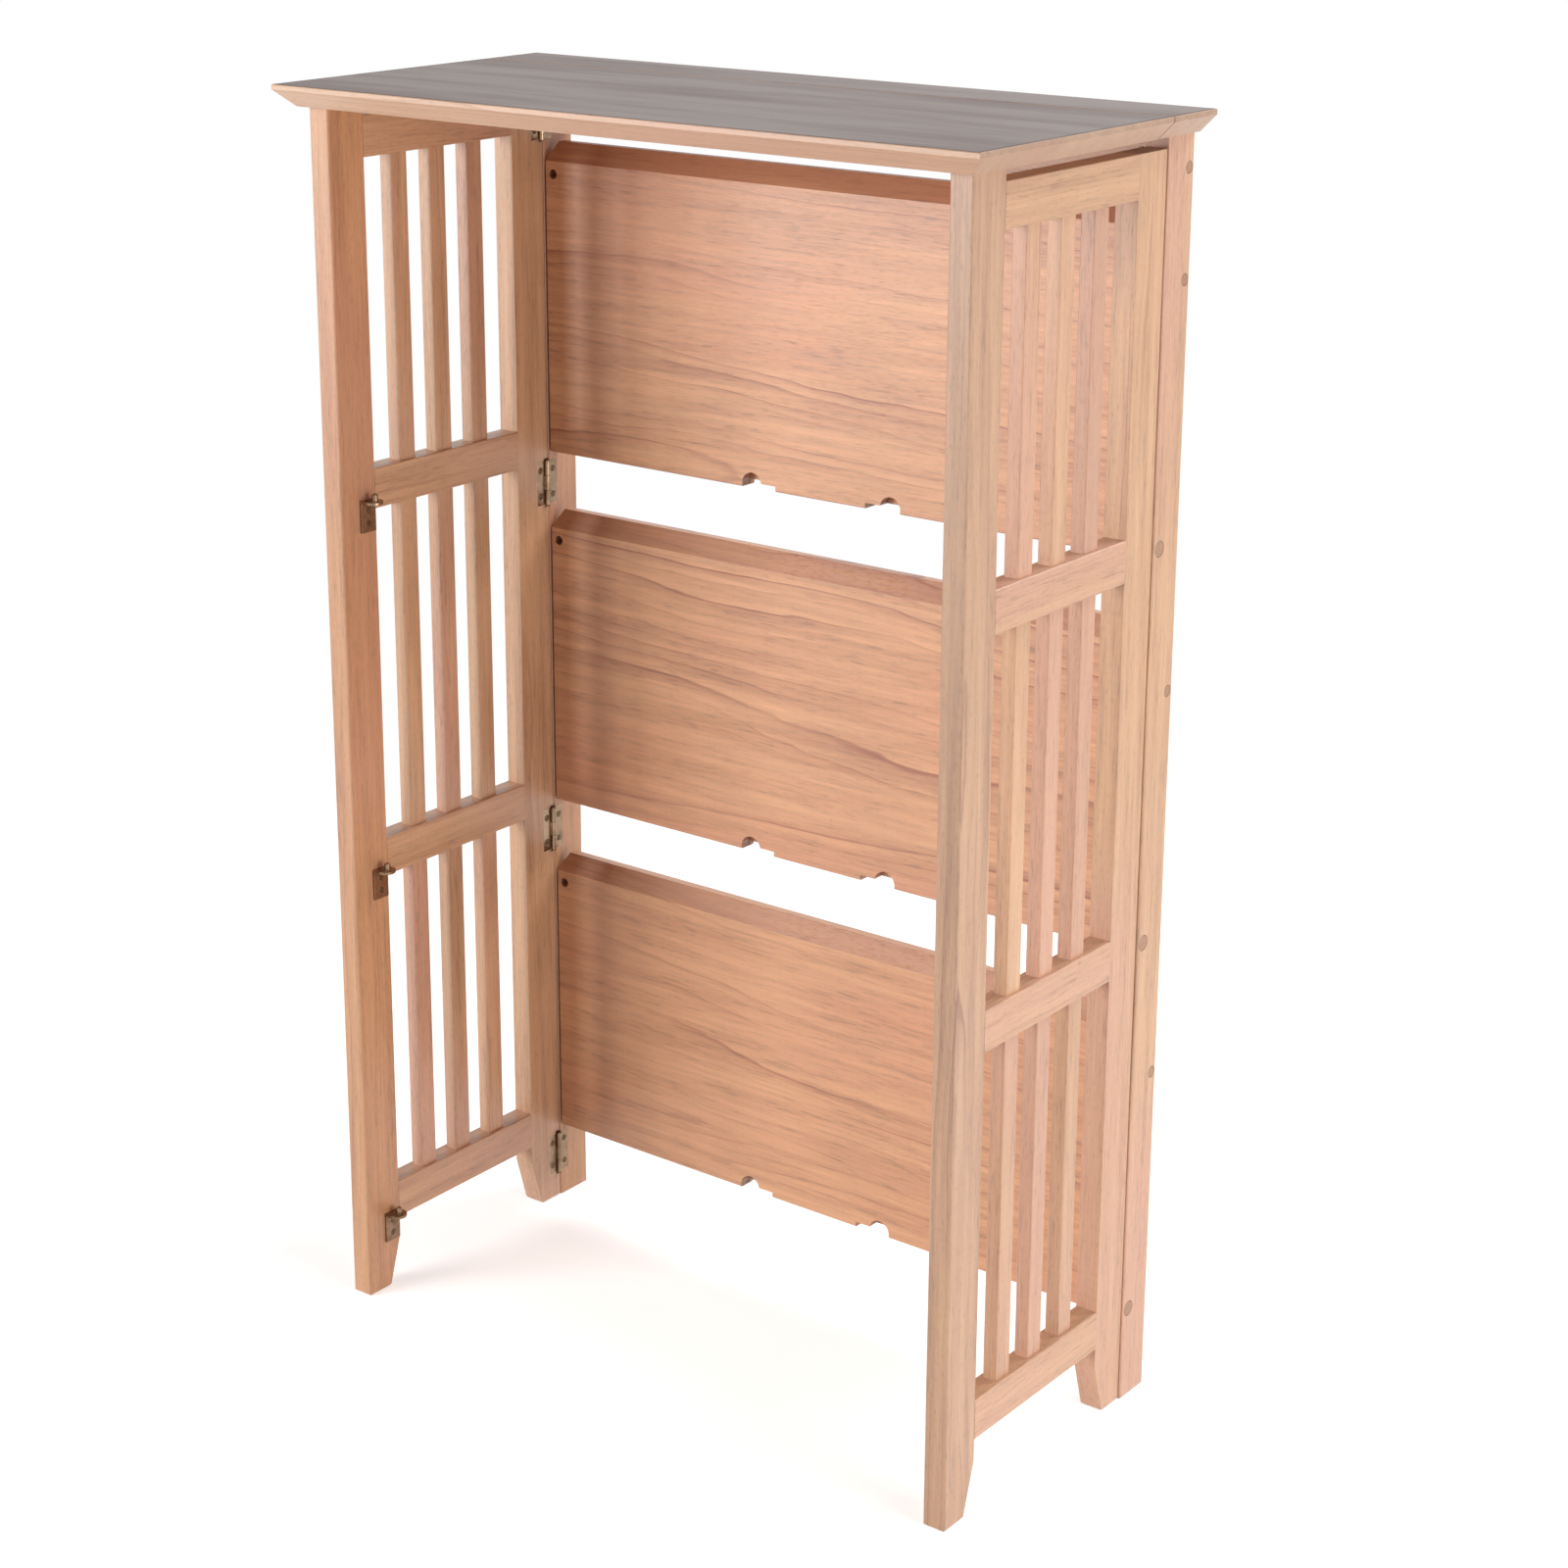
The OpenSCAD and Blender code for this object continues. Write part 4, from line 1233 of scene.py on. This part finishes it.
@dataclass
class Studio:
    """A pale floor, a white background, soft lamps and the camera."""

    lamps: tuple[Lamp, ...] = (
        Lamp("left_lamp", (-1.85, -3.0, 1.4), 112.0, 1.9),
        Lamp("right_lamp", (3.2, -0.3, 0.55), 72.0, 1.45),
        Lamp("back_lamp", (1.1, 2.0, 2.9), 66.0, 1.4, (0.0, 0.0, 0.9)),
    )
    ambient: float = 0.12
    floor_r: float = 12.0
    floor_sides: int = 96
    floor_z: float = -0.0003
    floor_colour: Colour = (0.86, 0.86, 0.86)
    floor_roughness: float = 0.9
    floor_specular: float = 0.1
    floor_glow: float = 0.55
    # Distances from the middle between which the floor fades out
    fade: Ramp = (0.9, 2.6)
    camera_place: Point = (1.420277, -1.812525, 1.275317)
    camera_turn: float = 0.664
    camera_pitch: float = math.radians(16.8)
    camera_sensor: float = 36.0
    camera_lens: float = 71.55
    camera_shift: Pair = (0.034, -0.075)

    def build(self) -> None:
        """Sets up the studio."""
        self._camera()
        self._world()
        self._floor()
        for lamp in self.lamps:
            lamp.hang()
        bpy.context.scene.view_settings.view_transform = "Standard"
        log.info("studio ready")

    def _camera(self) -> None:
        """Stands the camera where the photograph was taken from."""
        data = bpy.data.cameras.new("camera")
        data.sensor_width = self.camera_sensor
        data.lens = self.camera_lens
        data.shift_x, data.shift_y = self.camera_shift
        camera = added("camera", data)
        camera.location = self.camera_place
        camera.rotation_euler = (math.pi / 2 - self.camera_pitch, 0.0, self.camera_turn)
        bpy.context.scene.camera = camera

    def _seen_directly(self, b: NodeBench) -> Socket:
        """1 for rays from the camera, a mirror or glass, and 0 for light."""
        path = b.node("ShaderNodeLightPath").outputs
        seen = b.plus(path["Is Camera Ray"], path["Is Glossy Ray"])
        return b.plus(seen, path["Is Transmission Ray"], clamp=True)

    def _world(self) -> None:
        """White to look at, and a soft grey as a light."""
        world = bpy.data.worlds.new("studio_air")
        world.use_nodes = True
        bpy.context.scene.world = world
        b = NodeBench(world.node_tree)
        strength = b.ramp(self._seen_directly(b), 0.0, 1.0, self.ambient, 1.0)
        b.fill(world.node_tree.nodes["Background"], {"Color": WHITE, "Strength": strength})

    def _floor(self) -> None:
        """A wide round floor that fades into the white air and keeps the shadow."""
        bm = bmesh.new()
        bmesh.ops.create_circle(bm, cap_ends=True, segments=self.floor_sides,
                                radius=self.floor_r)
        bmesh.ops.translate(bm, vec=(0.0, 0.0, self.floor_z), verts=bm.verts)
        floor = added("floor", settled("floor", bm))
        material, b, shader = blank_material("pale_floor")
        b.fill(shader, {
            "Base Color": self.floor_colour,
            "Roughness": self.floor_roughness,
            "Specular IOR Level": self.floor_specular,
            "Emission Color": WHITE,
            "Emission Strength": b.times(self._seen_directly(b), self.floor_glow),
            "Alpha": b.ramp(b.length(b.here["Object"]), *self.fade, 1.0, 0.0),
        })
        dress(floor, material)


def main() -> None:
    """Builds and dresses the rack, part by part, and sets up the studio."""
    logging.basicConfig(level=logging.INFO, format="%(name)s: %(message)s")
    effects = Effects()
    levels = Levels()
    shop = WoodShop(effects)
    low, high = CAD_BOX
    # The face's grey-brown tones are painted reflection and painted shade
    face = StainedFace(light=srgb(166, 155, 151), dark=srgb(138, 125, 122),
                       line=srgb(92, 72, 62), face_z=high.z, half_w=high.x, front_y=low.y)
    Studio().build()
    BackFrame(shop, levels).build()
    for hand in Hand:
        SideFrame(shop, hand).build()
    Shelves(shop).build()
    TopBoards(TopShop(effects, face)).build()
    Fittings(effects, levels).build()


if __name__ == "__main__":
    main()
